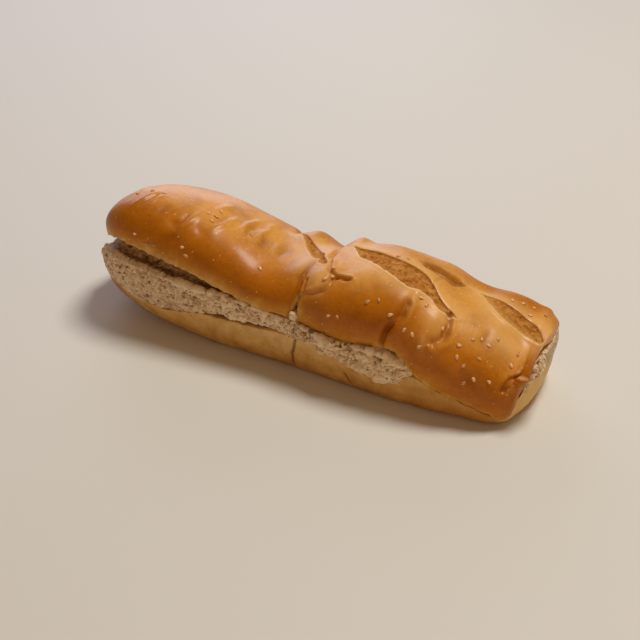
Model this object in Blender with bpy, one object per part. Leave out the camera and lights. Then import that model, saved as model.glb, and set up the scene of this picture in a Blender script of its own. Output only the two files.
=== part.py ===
# A submarine sandwich: a long seeded roll cut right through, with a chopped filling between its
# halves. Three closed solids: the top half with its slashes and folds, the filling and the bottom
# half. Lengths below are in millimetres: x runs along the roll, y to the back, z up.
import bmesh
import bpy
import numpy as np

MM = 0.001                 # metres in a millimetre
GAP = 0.6                  # clearance between the layers
CRUST_FLARE = 18.0         # degrees by which the crust curls in below its widest line
CRUST_POWER = 0.9          # under 1 makes the crust's section a little boxy
CUT_ARCH = 2.6             # flatness of the arch in the top half's cut face
FINE = 4.0                 # width of the softest wall or crease the solids show

TOP_RINGS = 77             # sections along the top half
TOP_CRUST = 38             # points over the crust in one section
BACK_THIN = 0.09           # how much sparser they lie over the back
CREASED = 1.7              # how much closer they lie over the creased part
SMOOTH_END = -28.0         # where the smooth left lobe gives way to it
UPRIGHT = (66.0, 90.0)     # the crust leans with the cut before this stretch, stands straight after it
CUT_SHARES = np.array([0.05, 0.15, 0.3, 0.5, 0.7, 0.85, 0.95])   # points across a cut face
FILL_RINGS = 40
LIFT = (-50.0, 2.0, 1.4)   # where the filling's front edge hangs clear of the bread, and how high
TIP_REACH = 4.0            # how far round the left tip the filling keeps clear of the crust
BOTTOM_RINGS = 36
STEEP = 2.0                # how far along the roll the layers keep clear of each other where they climb

# x, front lip y and z, back lip y and z, height of the dome over the lips, rise of the cut face
TOP_STATIONS = [
    (-117.4, 0.0, 39.5, 0.0, 39.5, 0.5, 0.0),
    (-116.2, -9.0, 39.6, 9.0, 35.5, 6.4, 0.0),
    (-112.2, -18.0, 41.2, 18.0, 31.0, 12.8, 0.0),
    (-105.0, -25.0, 44.4, 25.0, 27.0, 19.4, 0.0),
    (-92.0, -30.0, 47.0, 30.0, 25.0, 25.3, 0.0),
    (-76.0, -31.5, 45.0, 32.0, 24.0, 27.6, 0.0),
    (-58.0, -31.5, 41.0, 32.5, 23.0, 28.0, 0.0),
    (-38.0, -31.5, 36.0, 32.5, 22.0, 25.0, 0.0),
    (-16.0, -31.5, 31.0, 32.5, 22.0, 20.5, 1.0),
    (4.0, -31.5, 30.0, 32.0, 22.0, 24.0, 1.5),
    (22.0, -32.0, 26.5, 32.0, 22.0, 28.0, 2.0),
    (38.0, -32.0, 28.0, 32.0, 22.0, 28.5, 1.5),
    (50.0, -32.0, 29.5, 32.0, 22.0, 27.0, 1.5),
    (58.0, -32.0, 25.0, 31.8, 22.0, 28.0, 2.5),
    (66.0, -32.0, 17.5, 31.5, 22.0, 28.4, 4.5),
    (80.0, -31.5, 13.0, 31.0, 21.0, 26.2, 7.0),
    (93.0, -29.5, 8.5, 30.3, 20.8, 23.8, 8.5),
    (101.0, -26.8, 5.2, 29.6, 20.5, 21.4, 9.5),
    (106.0, -23.0, 5.0, 28.2, 20.5, 19.2, 8.5),
    (108.3, -19.5, 14.0, 27.0, 21.5, 16.6, 6.0),
    (110.3, -16.0, 21.5, 25.5, 23.0, 13.0, 4.0),
    (112.0, -11.0, 28.5, 23.0, 24.5, 9.5, 1.5),
    (113.0, -4.0, 32.0, 15.0, 27.5, 5.0, 0.5),
    (113.4, 4.0, 30.5, 6.0, 30.0, 0.5, 0.0),
]
TIP_TUCK = 7.0             # how far the lip sits in from the crust at the left tip
END_TUCK = 1.5             # the same at the blunt right end

# x, front edge y and z, back edge y and z, base z, base front y, base back y
BOTTOM_STATIONS = [
    (-119.5, -5.5, 22.0, 6.0, 19.0, 15.5, -2.0, 4.0),
    (-117.0, -13.0, 21.5, 12.0, 18.0, 11.5, -6.0, 7.0),
    (-111.0, -20.0, 21.5, 19.0, 16.5, 7.5, -10.0, 12.0),
    (-102.0, -26.0, 21.0, 25.0, 15.5, 4.6, -13.5, 17.0),
    (-91.0, -29.5, 18.5, 29.0, 15.0, 2.8, -15.5, 21.0),
    (-79.0, -31.0, 15.8, 30.5, 14.5, 1.5, -18.0, 23.0),
    (-66.0, -31.5, 15.8, 31.5, 14.0, 0.6, -20.5, 25.0),
    (-48.0, -31.5, 18.6, 32.0, 14.0, 0.0, -24.0, 26.0),
    (-30.0, -31.5, 19.4, 32.0, 14.0, 0.0, -25.0, 27.0),
    (-10.0, -31.5, 20.8, 32.0, 14.0, 0.0, -25.5, 28.0),
    (6.0, -31.5, 20.8, 32.0, 14.0, 0.0, -26.5, 28.0),
    (16.0, -31.5, 21.6, 32.0, 14.0, 0.0, -27.2, 28.0),
    (26.0, -31.5, 21.0, 32.0, 14.0, 0.0, -27.5, 28.0),
    (33.0, -31.5, 15.0, 32.0, 13.5, 0.0, -27.8, 28.0),
    (44.0, -31.5, 12.8, 32.0, 12.5, 0.0, -28.0, 28.0),
    (54.0, -31.5, 13.8, 32.0, 12.0, 0.0, -28.0, 28.0),
    (61.0, -31.5, 18.0, 31.8, 11.5, 0.0, -28.0, 27.8),
    (70.0, -31.5, 17.0, 31.4, 11.0, 0.0, -28.0, 27.5),
    (80.0, -31.0, 13.5, 31.0, 11.0, 0.0, -26.5, 27.0),
    (94.0, -29.0, 10.0, 29.5, 10.5, 0.0, -23.5, 25.0),
    (103.0, -24.5, 9.0, 28.5, 11.0, 0.2, -19.5, 23.0),
    (107.5, -19.0, 11.0, 27.5, 11.0, 1.5, -12.5, 21.0),
    (110.0, -13.0, 17.0, 26.0, 11.0, 3.4, -6.5, 18.0),
    (111.6, -8.5, 15.5, 22.5, 11.5, 6.5, -1.0, 14.0),
    (112.4, -3.0, 13.0, 16.0, 12.0, 9.0, 2.0, 11.0),
]
SIDE_BULGE = 1.8           # how far the bottom half's side swells past its cut edge
CUT_DISH = 1.0             # hollow of its cut face

# x, front y, back y, height of the front ridge over the bottom half's edge, swell of the front face
FILL_STATIONS = [
    (-120.7, -6.0, 7.0, 2.0, 0.6),
    (-118.0, -12.5, 13.0, 4.5, 1.3),
    (-111.0, -20.5, 20.0, 11.0, 2.0),
    (-102.0, -27.0, 26.0, 16.5, 2.6),
    (-91.0, -30.5, 30.0, 18.0, 2.8),
    (-79.0, -31.0, 31.5, 20.0, 2.8),
    (-66.0, -31.0, 32.5, 18.0, 2.4),
    (-48.0, -30.5, 32.5, 13.5, 2.0),
    (-30.0, -30.0, 32.5, 10.5, 1.4),
    (-10.0, -30.5, 32.5, 9.5, 1.5),
    (8.0, -31.5, 32.5, 9.0, 2.6),
    (24.0, -32.0, 32.5, 9.0, 3.6),
    (38.0, -32.0, 32.5, 14.5, 4.4),
    (50.0, -31.5, 32.5, 14.5, 4.2),
    (60.0, -29.0, 32.0, 8.0, 2.0),
    (68.0, -23.0, 31.5, 6.0, 0.8),
    (82.0, -24.0, 31.0, 7.0, 0.8),
    (95.0, -21.0, 29.5, 9.0, 0.8),
    (103.0, -13.5, 27.0, 10.0, 0.8),
    (107.5, -9.8, 24.5, 12.0, 1.0),
    (110.3, -11.5, 22.0, 14.0, 1.3),
    (112.2, -7.5, 18.0, 13.0, 1.2),
    (113.1, -1.0, 11.0, 8.5, 0.6),
]

# The tear between the two lobes, open at the lip: x, and how far down the crust still reaches,
# as s, the distance round the crust from the crown line, minus to the front.
TEAR = [(0.0, -60.0), (1.0, -45.0), (2.2, -39.5), (3.4, -38.0), (4.6, -43.0), (5.6, -60.0)]

# Slashes opened in the crust by baking: x, and the s of the front and back edge; then how deep the
# floor lies at the front edge, how much deeper at the back, its swell, and the height of the rim.
SLASHES = [
    dict(edges=[(-22.0, 15.0, 15.5), (-16.0, 9.0, 11.5), (-10.0, 1.5, 7.0), (-3.0, -7.5, 0.8),
                (3.0, -13.5, -6.0), (7.5, -16.0, -11.0), (9.5, -15.0, -14.0)],
         step=0.5, deep=2.4, bulge=0.6, rim=0.4),
    dict(edges=[(14.0, 5.5, 7.0), (21.0, -2.5, 6.0), (28.0, -6.0, 5.0), (36.0, -10.8, 2.6),
                (44.0, -15.6, 0.3), (51.0, -18.0, -2.5), (57.0, -15.5, -4.7), (62.0, -13.8, -6.7),
                (67.0, -13.9, -8.8), (72.0, -13.5, -11.0), (74.5, -13.0, -12.5)],
         step=0.7, deep=3.6, bulge=1.3, rim=0.6),
    dict(edges=[(77.0, 12.5, 13.0), (83.0, 5.5, 12.0), (88.0, 1.8, 11.0), (93.0, -0.5, 9.8),
                (98.0, -1.6, 8.4), (102.0, -2.6, 7.0), (105.5, -4.0, 4.6), (108.5, -6.6, 0.0),
                (111.5, -11.0, -8.0)],
         step=0.5, deep=2.6, bulge=0.7, rim=0.4),
]

# Creases: a path, its width and depth at its two ends, and how far the crust stands up on one side.
CREASES = [
    dict(path=[(5.6, -27.0), (6.0, -31.5), (4.6, -36.5), (3.6, -41.0), (2.6, -49.0)],
         width=(0.6, 1.4), depth=(1.8, 3.0), stand=0.5),
    dict(path=[(1.0, -26.0), (1.0, -34.0), (0.3, -44.0), (-0.3, -50.0)],
         width=(2.0, 2.4), depth=(0.8, 1.6), stand=0.0),
    dict(path=[(7.0, -33.5), (11.0, -32.5), (15.2, -30.0), (17.2, -26.5), (17.6, -23.0)],
         width=(0.9, 1.3), depth=(0.4, 2.4), stand=0.6),
    dict(path=[(10.5, -12.5), (14.0, -18.5), (17.5, -21.5), (20.5, -20.8), (25.0, -21.5)],
         width=(1.2, 1.5), depth=(2.4, 2.6), stand=0.3),
    dict(path=[(3.0, 36.0), (5.0, 14.0), (6.3, 6.0), (6.8, 0.0), (8.2, -7.0), (10.0, -12.0)],
         width=(2.0, 1.6), depth=(2.4, 1.6), stand=0.2),
    dict(path=[(-25.0, 34.0), (-22.5, 14.0)], width=(2.2, 1.8), depth=(1.8, 1.6), stand=0.0),
    dict(path=[(54.5, -26.0), (53.5, -31.0), (51.0, -37.0), (48.5, -43.0), (46.5, -50.0)],
         width=(2.4, 1.6), depth=(0.8, 3.2), stand=0.8),
    dict(path=[(71.0, -13.0), (73.4, -17.0), (74.0, -21.5), (72.8, -25.5), (69.5, -29.0)],
         width=(1.1, 2.0), depth=(3.0, 1.2), stand=0.9),
    dict(path=[(57.5, -9.5), (61.5, 4.5)], width=(0.7, 0.5), depth=(0.7, 0.4), stand=0.0),
    dict(path=[(103.8, -30.0), (104.2, -27.5), (105.4, -25.2), (107.6, -24.4), (111.0, -25.5)],
         width=(0.9, 0.8), depth=(1.6, 1.2), stand=0.9),
]

# A fold pressed into the crust: its outline like a slash's, and its depth.
PRESSED = dict(edges=[(47.0, 6.5, 7.5), (51.5, 2.4, 8.0), (58.0, 2.0, 9.6), (62.5, 4.2, 11.6),
                      (67.0, 5.6, 14.0), (70.5, 11.5, 12.5)], deep=2.4)

# Swellings and dents: centre, the two radii, the turn in degrees, the height (minus for a dent).
SWELLS = [
    dict(centre=(-11.5, 17.0), radii=(7.5, 14.0), turn=0.0, height=4.4),
    dict(centre=(1.5, 20.0), radii=(6.5, 12.0), turn=0.0, height=-3.8),
    dict(centre=(12.0, 19.0), radii=(4.5, 10.0), turn=0.0, height=2.8),
    dict(centre=(11.0, -26.0), radii=(6.0, 8.0), turn=0.0, height=2.4),
    dict(centre=(30.0, -27.0), radii=(22.0, 15.0), turn=-14.0, height=1.8),
    dict(centre=(67.0, -21.0), radii=(5.5, 9.0), turn=0.0, height=1.5),
    dict(centre=(55.5, -22.5), radii=(2.0, 7.0), turn=0.0, height=0.6),
    dict(centre=(62.5, -20.5), radii=(2.0, 6.0), turn=0.0, height=0.6),
    dict(centre=(28.0, 16.0), radii=(16.0, 9.0), turn=0.0, height=1.6),
    dict(centre=(76.0, 20.0), radii=(10.0, 12.0), turn=0.0, height=-3.5),
    dict(centre=(88.0, -22.0), radii=(16.0, 14.0), turn=0.0, height=1.0),
    dict(centre=(86.0, -37.0), radii=(3.0, 5.0), turn=0.0, height=-1.2),
    dict(centre=(-66.5, -33.0), radii=(2.6, 3.0), turn=0.0, height=-1.1),
    dict(centre=(-52.3, -29.3), radii=(3.2, 2.8), turn=0.0, height=-1.0),
]


def through(stations, column, t):
    """A smooth curve through one column of the stations, at row numbers t."""
    values = np.array([row[column] for row in stations])
    values = np.concatenate([[2 * values[0] - values[1]], values, [2 * values[-1] - values[-2]]])
    t = np.clip(t, 0, len(stations) - 1 - 1e-9)
    i = np.floor(t).astype(int)
    f = t - i
    a, b, c, d = values[i], values[i + 1], values[i + 2], values[i + 3]
    return b + 0.5 * f * (c - a + f * (2 * a - 5 * b + 4 * c - d + f * (3 * (b - c) + d - a)))


def even_rows(stations, count, trim, dense_from=np.inf):
    """Row numbers of count sections, evenly spaced along the outline, closer together past dense_from."""
    t = np.linspace(trim, len(stations) - 1 - trim, 2000)
    columns = [through(stations, c, t) for c in (0, 1, 2, 3)]
    step = np.sqrt(sum(np.diff(c) ** 2 for c in columns))
    step = step * np.where(columns[0][1:] > dense_from, CREASED, 1)
    travel = np.concatenate([[0], np.cumsum(step)])
    return np.interp(np.linspace(0, travel[-1], count), travel, t)


def ease(v):
    v = np.clip(v, 0, 1)
    return v * v * (3 - 2 * v)


def slash_field(x, s, edges):
    """Distance from a slash's outline (minus inside), and the share of its width from the front edge."""
    t = np.linspace(0, len(edges) - 1, 240)
    edge_x, front, back = (through(edges, c, t) for c in range(3))
    front_slope = np.interp(x, edge_x, np.hypot(1, np.gradient(front, edge_x)))
    back_slope = np.interp(x, edge_x, np.hypot(1, np.gradient(back, edge_x)))
    from_front = (s - np.interp(x, edge_x, front)) / front_slope
    from_back = (np.interp(x, edge_x, back) - s) / back_slope
    beyond = np.maximum(0, np.maximum(edge_x[0] - x, x - edge_x[-1]))
    inside = np.minimum(from_front, from_back)
    outside = np.hypot(np.maximum(-inside, 0), beyond)
    tilt = np.clip(from_front / np.maximum(from_front + from_back, 0.6), 0, 1)
    return np.where((inside > 0) & (beyond == 0), -inside, outside), tilt


def nearest_on_path(x, s, path):
    """Distance to a bent line, the share of its length at the nearest point, and the side."""
    points = np.array(path)
    lengths = np.linalg.norm(np.diff(points, axis=0), axis=1)
    passed = np.concatenate([[0], np.cumsum(lengths)])
    best = np.full(x.shape, 1e9)
    share = np.zeros(x.shape)
    side = np.zeros(x.shape)
    for i, length in enumerate(lengths):
        run = (points[i + 1] - points[i]) / length
        dx, ds = x - points[i, 0], s - points[i, 1]
        along = np.clip(dx * run[0] + ds * run[1], 0, length)
        away = np.hypot(dx - along * run[0], ds - along * run[1])
        nearer = away < best
        best = np.where(nearer, away, best)
        share = np.where(nearer, (passed[i] + along) / passed[-1], share)
        side = np.where(nearer, dx * -run[1] + ds * run[0], side)
    return best, share, np.sign(side)


def crust_relief(x, s):
    """Height of the crust over its plain form."""
    height = np.zeros(x.shape)
    for swell in SWELLS:
        turn = np.radians(swell["turn"])
        dx, ds = x - swell["centre"][0], s - swell["centre"][1]
        a = (dx * np.cos(turn) + ds * np.sin(turn)) / swell["radii"][0]
        b = (ds * np.cos(turn) - dx * np.sin(turn)) / swell["radii"][1]
        height += swell["height"] * np.exp(-(a * a + b * b))
    for crease in CREASES:
        away, share, side = nearest_on_path(x, s, crease["path"])
        width = np.interp(share, (0, 1), crease["width"])
        depth = np.interp(share, (0, 1), crease["depth"])
        drawn = np.maximum(FINE / 2, width)
        height -= depth * np.sqrt(width / drawn) * np.exp(-(away / drawn) ** 2)
        height += crease["stand"] * np.exp(-((away - 1.5 * drawn) / (1.2 * drawn)) ** 2) * (side > 0)
    edge, tilt = slash_field(x, s, PRESSED["edges"])
    height -= PRESSED["deep"] * ease(0.4 - edge / FINE) * (0.35 + tilt)
    for slash in SLASHES:
        edge, tilt = slash_field(x, s, slash["edges"])
        floor = slash["step"] + slash["deep"] * tilt ** 1.7 - slash["bulge"] * np.sin(np.pi * tilt)
        height -= ease(0.5 - edge / FINE) * floor
        height += slash["rim"] * np.exp(-((edge - 1.5) / 2.0) ** 2)
    return height


def solid(name, rings, colour, roughness):
    """A closed body from rings of equal length, its ends drawn to a point, with its material."""
    count, size = rings.shape[:2]
    ends = np.array([rings[0].mean(axis=0), rings[-1].mean(axis=0)])
    points = np.concatenate([rings.reshape(-1, 3), ends]) * MM
    faces = []
    for i in range(count - 1):
        for j in range(size):
            k = (j + 1) % size
            faces.append((i * size + j, (i + 1) * size + j, (i + 1) * size + k, i * size + k))
    last = (count - 1) * size
    for j in range(size):
        k = (j + 1) % size
        faces.append((count * size, j, k))
        faces.append((count * size + 1, last + k, last + j))
    mesh = bpy.data.meshes.new(name)
    mesh.from_pydata(points.tolist(), [], faces)
    outward = bmesh.new()
    outward.from_mesh(mesh)
    bmesh.ops.recalc_face_normals(outward, faces=outward.faces)
    outward.to_mesh(mesh)
    outward.free()
    material = bpy.data.materials.new(name)
    material.use_nodes = True
    shader = material.node_tree.nodes["Principled BSDF"]
    shader.inputs["Base Color"].default_value = colour
    shader.inputs["Roughness"].default_value = roughness
    shader.inputs["Metallic"].default_value = 0.0
    mesh.materials.append(material)
    return bpy.data.objects.new(name, mesh)


def tuck_in(x):
    left, right = TOP_STATIONS[0][0], TOP_STATIONS[-1][0]
    return TIP_TUCK * np.exp((left - x) / TIP_TUCK) - END_TUCK * np.exp((x - right) / 4.0)


def top_lips(t):
    """Front and back lips of the top half at rows t, as points, and the rise of the cut face."""
    x, front_y, front_z, back_y, back_z, dome, rise = (through(TOP_STATIONS, c, t) for c in range(7))
    x = x + tuck_in(x)
    return np.stack([x, front_y, front_z], -1), np.stack([x, back_y, back_z], -1), rise


def cut_face(x, y):
    """Height of the top half's cut face over the plan."""
    front, back, rise = top_lips(np.linspace(0, len(TOP_STATIONS) - 1, 600))
    low, high = (np.interp(x, side[:, 0], side[:, 1]) for side in (front, back))
    v = np.clip((y - low) / np.maximum(high - low, 1e-3), 0, 1)
    plain = np.interp(x, front[:, 0], front[:, 2]) * (1 - v) + np.interp(x, back[:, 0], back[:, 2]) * v
    return plain + np.interp(x, front[:, 0], rise) * (1 - np.abs(2 * v - 1) ** CUT_ARCH)


def roof(x, y):
    """How high the filling may reach: under the cut face, and under the crust beside it at the ends."""
    reach = np.maximum(STEEP, TIP_REACH * np.clip((-x - 96) / 12, 0, 1))
    return np.minimum.reduce([cut_face(x + reach * d, y) for d in (-1, -0.5, 0, 0.5, 1)]) - GAP


def open_tear(x, crust, around):
    """Pulls the front lip up where the crust tore apart."""
    tear = np.array(TEAR)
    for i in np.nonzero((x > tear[0, 0]) & (x < tear[-1, 0]))[0]:
        reach = np.interp(x[i], tear[:, 0], tear[:, 1])
        if reach > around[i, 0]:
            front = around[i] < 0
            wanted = around[i].copy()
            wanted[front] = reach * around[i, front] / around[i, 0]
            crust[i] = np.stack([np.interp(wanted, around[i], crust[i, :, c]) for c in range(3)], -1)
    return crust


def bottom_face(x, y):
    """Height of the bottom half's cut face over the plan."""
    t = np.linspace(0, len(BOTTOM_STATIONS) - 1, 600)
    rows = [through(BOTTOM_STATIONS, c, t) for c in range(5)]
    low, low_z, high, high_z = (np.interp(x, rows[0], rows[c]) for c in range(1, 5))
    v = np.clip((y - low) / np.maximum(high - low, 1e-3), 0, 1)
    dish = CUT_DISH * np.clip((high - low) / 40, 0.1, 1)
    return low_z * (1 - v) + high_z * v - dish * (1 - np.abs(2 * v - 1) ** 4)


def top_half():
    t = even_rows(TOP_STATIONS, TOP_RINGS, 0.15, SMOOTH_END)
    x, front_y, front_z, back_y, back_z, dome, rise = (
        through(TOP_STATIONS, c, t)[:, None] for c in range(7))
    flare = np.radians(CRUST_FLARE)
    share = np.linspace(0, 1, TOP_CRUST)[None]
    angle = -flare + (np.pi + 2 * flare) * (share - BACK_THIN * share * (1 - share) * 4)
    cosine, sine, low = np.cos(angle), np.sin(angle), np.sin(flare) ** CRUST_POWER
    along = -np.sign(cosine) * np.abs(cosine) ** CRUST_POWER / np.cos(flare) ** CRUST_POWER
    high = (np.sign(sine) * np.abs(sine) ** CRUST_POWER + low) / (1 + low)
    half_y, half_z = (back_y - front_y) / 2, (back_z - front_z) / 2
    length = np.hypot(half_y, half_z)
    lean = -half_z / length * (1 - ease((x - UPRIGHT[0]) / (UPRIGHT[1] - UPRIGHT[0])))
    y = (front_y + back_y) / 2 + half_y * along + lean * dome * high
    z = (front_z + back_z) / 2 + half_z * along + np.sqrt(1 - lean ** 2) * dome * high
    crust = np.stack([x + tuck_in(x) * (1 - high) ** 2, y, z], -1)

    step = np.linalg.norm(np.diff(crust, axis=1), axis=2)
    travel = np.concatenate([np.zeros((TOP_RINGS, 1)), np.cumsum(step, axis=1)], axis=1)
    crown = np.array([np.interp(np.pi / 2, angle[0], row) for row in travel])
    around = travel - crown[:, None]
    height = crust_relief(np.repeat(x, TOP_CRUST, 1), around)
    lip = np.minimum(travel, travel[:, -1:] - travel)
    left, right = TOP_STATIONS[0][0], TOP_STATIONS[-1][0]
    fade = np.clip(lip / 3.0, 0, 1) * np.clip((x - left) / 5.0, 0, 1) * np.clip((right - x) / 3.0, 0, 1)
    across = np.gradient(crust, axis=1)
    lengthwise = np.gradient(crust, axis=0)
    normal = np.cross(lengthwise, across)
    normal /= np.maximum(np.linalg.norm(normal, axis=2, keepdims=True), 1e-6)
    crust = open_tear(x[:, 0], crust + normal * (height * fade)[..., None], around)

    v = CUT_SHARES[None, :, None]
    under = crust[:, -1:] * (1 - v) + crust[:, :1] * v
    under[..., 2] += rise * (1 - np.abs(2 * v[..., 0] - 1) ** CUT_ARCH)
    return np.concatenate([crust, under], axis=1)


def bottom_half():
    t = even_rows(BOTTOM_STATIONS, BOTTOM_RINGS, 0.0)
    x, front_y, front_z, back_y, back_z, base, base_front, base_back = (
        through(BOTTOM_STATIONS, c, t)[:, None] for c in range(8))
    crust = np.minimum.reduce([cut_face(x + STEEP * d, front_y) for d in (-1, 0, 1)])
    front_z = np.minimum(front_z, crust - GAP)
    size = np.clip((back_y - front_y) / 40, 0.1, 1)
    turn = np.linspace(0, np.pi / 2, 5)[None]
    drop = np.sin(turn) ** 1.4
    pull = (1 - np.cos(turn)) ** 0.8
    swell = SIDE_BULGE * size * np.sin(2 * turn)
    front = [front_y + (base_front - front_y) * pull - swell, front_z + (base - front_z) * drop]
    back = [back_y + (base_back - back_y) * pull + swell, back_z + (base - back_z) * drop]
    v = CUT_SHARES[None]
    face_y = front_y + (back_y - front_y) * v
    face_z = front_z + (back_z - front_z) * v - CUT_DISH * size * (1 - np.abs(2 * v - 1) ** 4)
    y = np.concatenate([front[0], back[0][:, ::-1], face_y[:, ::-1]], axis=1)
    z = np.concatenate([front[1], back[1][:, ::-1], face_z[:, ::-1]], axis=1)
    z = np.where(z < 0.35, 0.0, z)
    return np.stack([np.repeat(x, y.shape[1], 1), y, z], -1)


def filling_floor(x, y, front):
    """Height of the filling's underside."""
    lift = ease((x - LIFT[0]) / 10) * ease((LIFT[1] - x) / 6) * LIFT[2]
    bread = np.maximum.reduce([bottom_face(x + STEEP * d, y) for d in (-1, 0, 1)])
    return bread + GAP + lift * ease(1 - (y - front) / 4)


def filling():
    t = even_rows(FILL_STATIONS, FILL_RINGS, 0.0)
    x, front, back, ridge, swell = (through(FILL_STATIONS, c, t)[:, None] for c in range(5))
    floor_z = filling_floor(x, front, front)
    top_z = np.minimum(floor_z + ridge, roof(x, front))
    v = np.linspace(0, 1, 6)[None]
    face_y = front - swell * np.sin(np.pi * (0.1 + 0.8 * v)) ** 0.8
    face_z = floor_z + (top_z - floor_z) * v
    w = CUT_SHARES[None]
    top_y = front + (back - front) * w
    shelf = top_z + 0.06 * (top_y - front)
    room = 40 * np.clip(w - 0.25, 0, 1) * np.clip((109 - np.abs(x)) / 9, 0, 1)
    roof_z = np.minimum(roof(x, top_y), shelf + room)
    back_y = back + np.array([0.0, 1.0, 0.0])[None] * np.clip((back - front) / 40, 0.1, 1)
    high, low = np.minimum(roof(x, back), roof_z[:, -1:]), bottom_face(x, back) + GAP
    back_z = high + (low - high) * np.array([0.0, 0.5, 1.0])[None]
    under_y = front + (back - front) * w[:, ::-1]
    under_z = filling_floor(x, under_y, front)
    y = np.concatenate([face_y, top_y, back_y, under_y], axis=1)
    z = np.concatenate([face_z, roof_z, back_z, under_z], axis=1)
    return np.stack([np.repeat(x, y.shape[1], 1), y, z], -1)


for leftover in list(bpy.data.objects):
    bpy.data.objects.remove(leftover)

layers = {"top_bun": top_half(), "filling": filling(), "bottom_bun": bottom_half()}
corners = np.concatenate([rings.reshape(-1, 3) for rings in layers.values()])
middle = (corners.min(axis=0) + corners.max(axis=0)) / 2
middle[2] = corners[:, 2].min()
looks = {
    "top_bun": ((0.46, 0.17, 0.035, 1.0), 0.38),
    "filling": ((0.36, 0.25, 0.18, 1.0), 0.7),
    "bottom_bun": ((0.56, 0.30, 0.10, 1.0), 0.5),
}
sandwich = bpy.data.collections.new("submarine_sandwich")
bpy.context.scene.collection.children.link(sandwich)
for name, rings in layers.items():
    colour, roughness = looks[name]
    sandwich.objects.link(solid(name, rings - middle, colour, roughness))
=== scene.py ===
import math
import bpy
import numpy as np
from mathutils import Matrix, Vector


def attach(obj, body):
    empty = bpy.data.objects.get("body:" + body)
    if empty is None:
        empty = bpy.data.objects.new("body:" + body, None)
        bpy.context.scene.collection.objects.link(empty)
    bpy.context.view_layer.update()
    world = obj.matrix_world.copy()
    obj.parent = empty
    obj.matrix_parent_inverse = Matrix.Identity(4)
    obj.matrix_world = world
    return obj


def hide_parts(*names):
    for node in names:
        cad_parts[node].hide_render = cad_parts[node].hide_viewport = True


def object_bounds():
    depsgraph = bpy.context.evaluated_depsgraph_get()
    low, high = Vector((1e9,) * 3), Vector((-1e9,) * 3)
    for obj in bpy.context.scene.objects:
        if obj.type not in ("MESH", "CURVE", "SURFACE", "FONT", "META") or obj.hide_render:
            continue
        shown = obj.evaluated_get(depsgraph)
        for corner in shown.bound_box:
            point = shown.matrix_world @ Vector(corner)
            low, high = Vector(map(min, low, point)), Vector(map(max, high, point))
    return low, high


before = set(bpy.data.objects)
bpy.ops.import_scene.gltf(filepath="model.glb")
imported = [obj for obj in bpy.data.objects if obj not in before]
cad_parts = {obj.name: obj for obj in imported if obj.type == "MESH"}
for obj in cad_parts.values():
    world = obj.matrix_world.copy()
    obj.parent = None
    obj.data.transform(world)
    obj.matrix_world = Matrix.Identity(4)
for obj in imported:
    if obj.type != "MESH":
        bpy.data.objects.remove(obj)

cadLow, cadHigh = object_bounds()
print("frame loaded:", sorted(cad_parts))

# Everything below is in millimetres in the roll's own axes: x along it, y to the back, z up.
# The solids sit centred on their footprint, so one shift takes the shapes to where they are.
mm = 0.001
whole = {
    "lowX": -120.7,        # left end of the filling, the furthest point that way
    "lowY": -36.3,         # front of the spill
    "seed": 7,
}
shift = np.array([cadLow.x / mm - whole["lowX"], cadLow.y / mm - whole["lowY"], 0.0])


def toLinear(hexColour, alpha=1.0):
    parts = [int(hexColour.lstrip("#")[i:i + 2], 16) / 255 for i in (0, 2, 4)]
    return tuple(c / 12.92 if c <= 0.04045 else ((c + 0.055) / 1.055) ** 2.4 for c in parts) + (alpha,)


def addNode(tree, kind, settings=None, inputs=None, stops=None):
    made = tree.nodes.new(kind)
    for name, value in (settings or {}).items():
        setattr(made, name, value)
    for name, value in (inputs or {}).items():
        if isinstance(value, bpy.types.NodeSocket):
            tree.links.new(value, made.inputs[name])
        else:
            made.inputs[name].default_value = value
    for i, (place, colour) in enumerate(stops or []):
        stop = made.color_ramp.elements[i] if i < 2 else made.color_ramp.elements.new(place)
        stop.position = place
        stop.color = toLinear(colour) if isinstance(colour, str) else (colour,) * 3 + (1.0,)
    return made


def newMaterial(name):
    material = bpy.data.materials.new(name)
    material.use_nodes = True
    material.node_tree.nodes.clear()
    return material, material.node_tree


# ---- shapes: curves through stations, noise, and meshes from rings of points

def through(stations, column, t):
    values = np.array([row[column] for row in stations], float)
    values = np.concatenate([[2 * values[0] - values[1]], values, [2 * values[-1] - values[-2]]])
    t = np.clip(t, 0, len(stations) - 1 - 1e-9)
    i = np.floor(t).astype(int)
    f = t - i
    a, b, c, d = values[i], values[i + 1], values[i + 2], values[i + 3]
    return b + 0.5 * f * (c - a + f * (2 * a - 5 * b + 4 * c - d + f * (3 * (b - c) + d - a)))


def evenRows(stations, count, trim, denseFrom=math.inf, denser=1.0):
    t = np.linspace(trim, len(stations) - 1 - trim, 4000)
    columns = [through(stations, c, t) for c in (0, 1, 2, 3)]
    step = np.sqrt(sum(np.diff(c) ** 2 for c in columns)) * np.where(columns[0][1:] > denseFrom, denser, 1)
    travel = np.concatenate([[0], np.cumsum(step)])
    return np.interp(np.linspace(0, travel[-1], count), travel, t)


def ease(v):
    v = np.clip(v, 0, 1)
    return v * v * (3 - 2 * v)


def cornerHash(i, offset, seed):
    h = (i[..., 0] + offset[0]) * 73856093 ^ (i[..., 1] + offset[1]) * 19349663
    h = h ^ (i[..., 2] + offset[2]) * 83492791 ^ seed * 2654435
    return (h ^ (h >> 11) ^ (h >> 5)) & 8191


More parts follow.
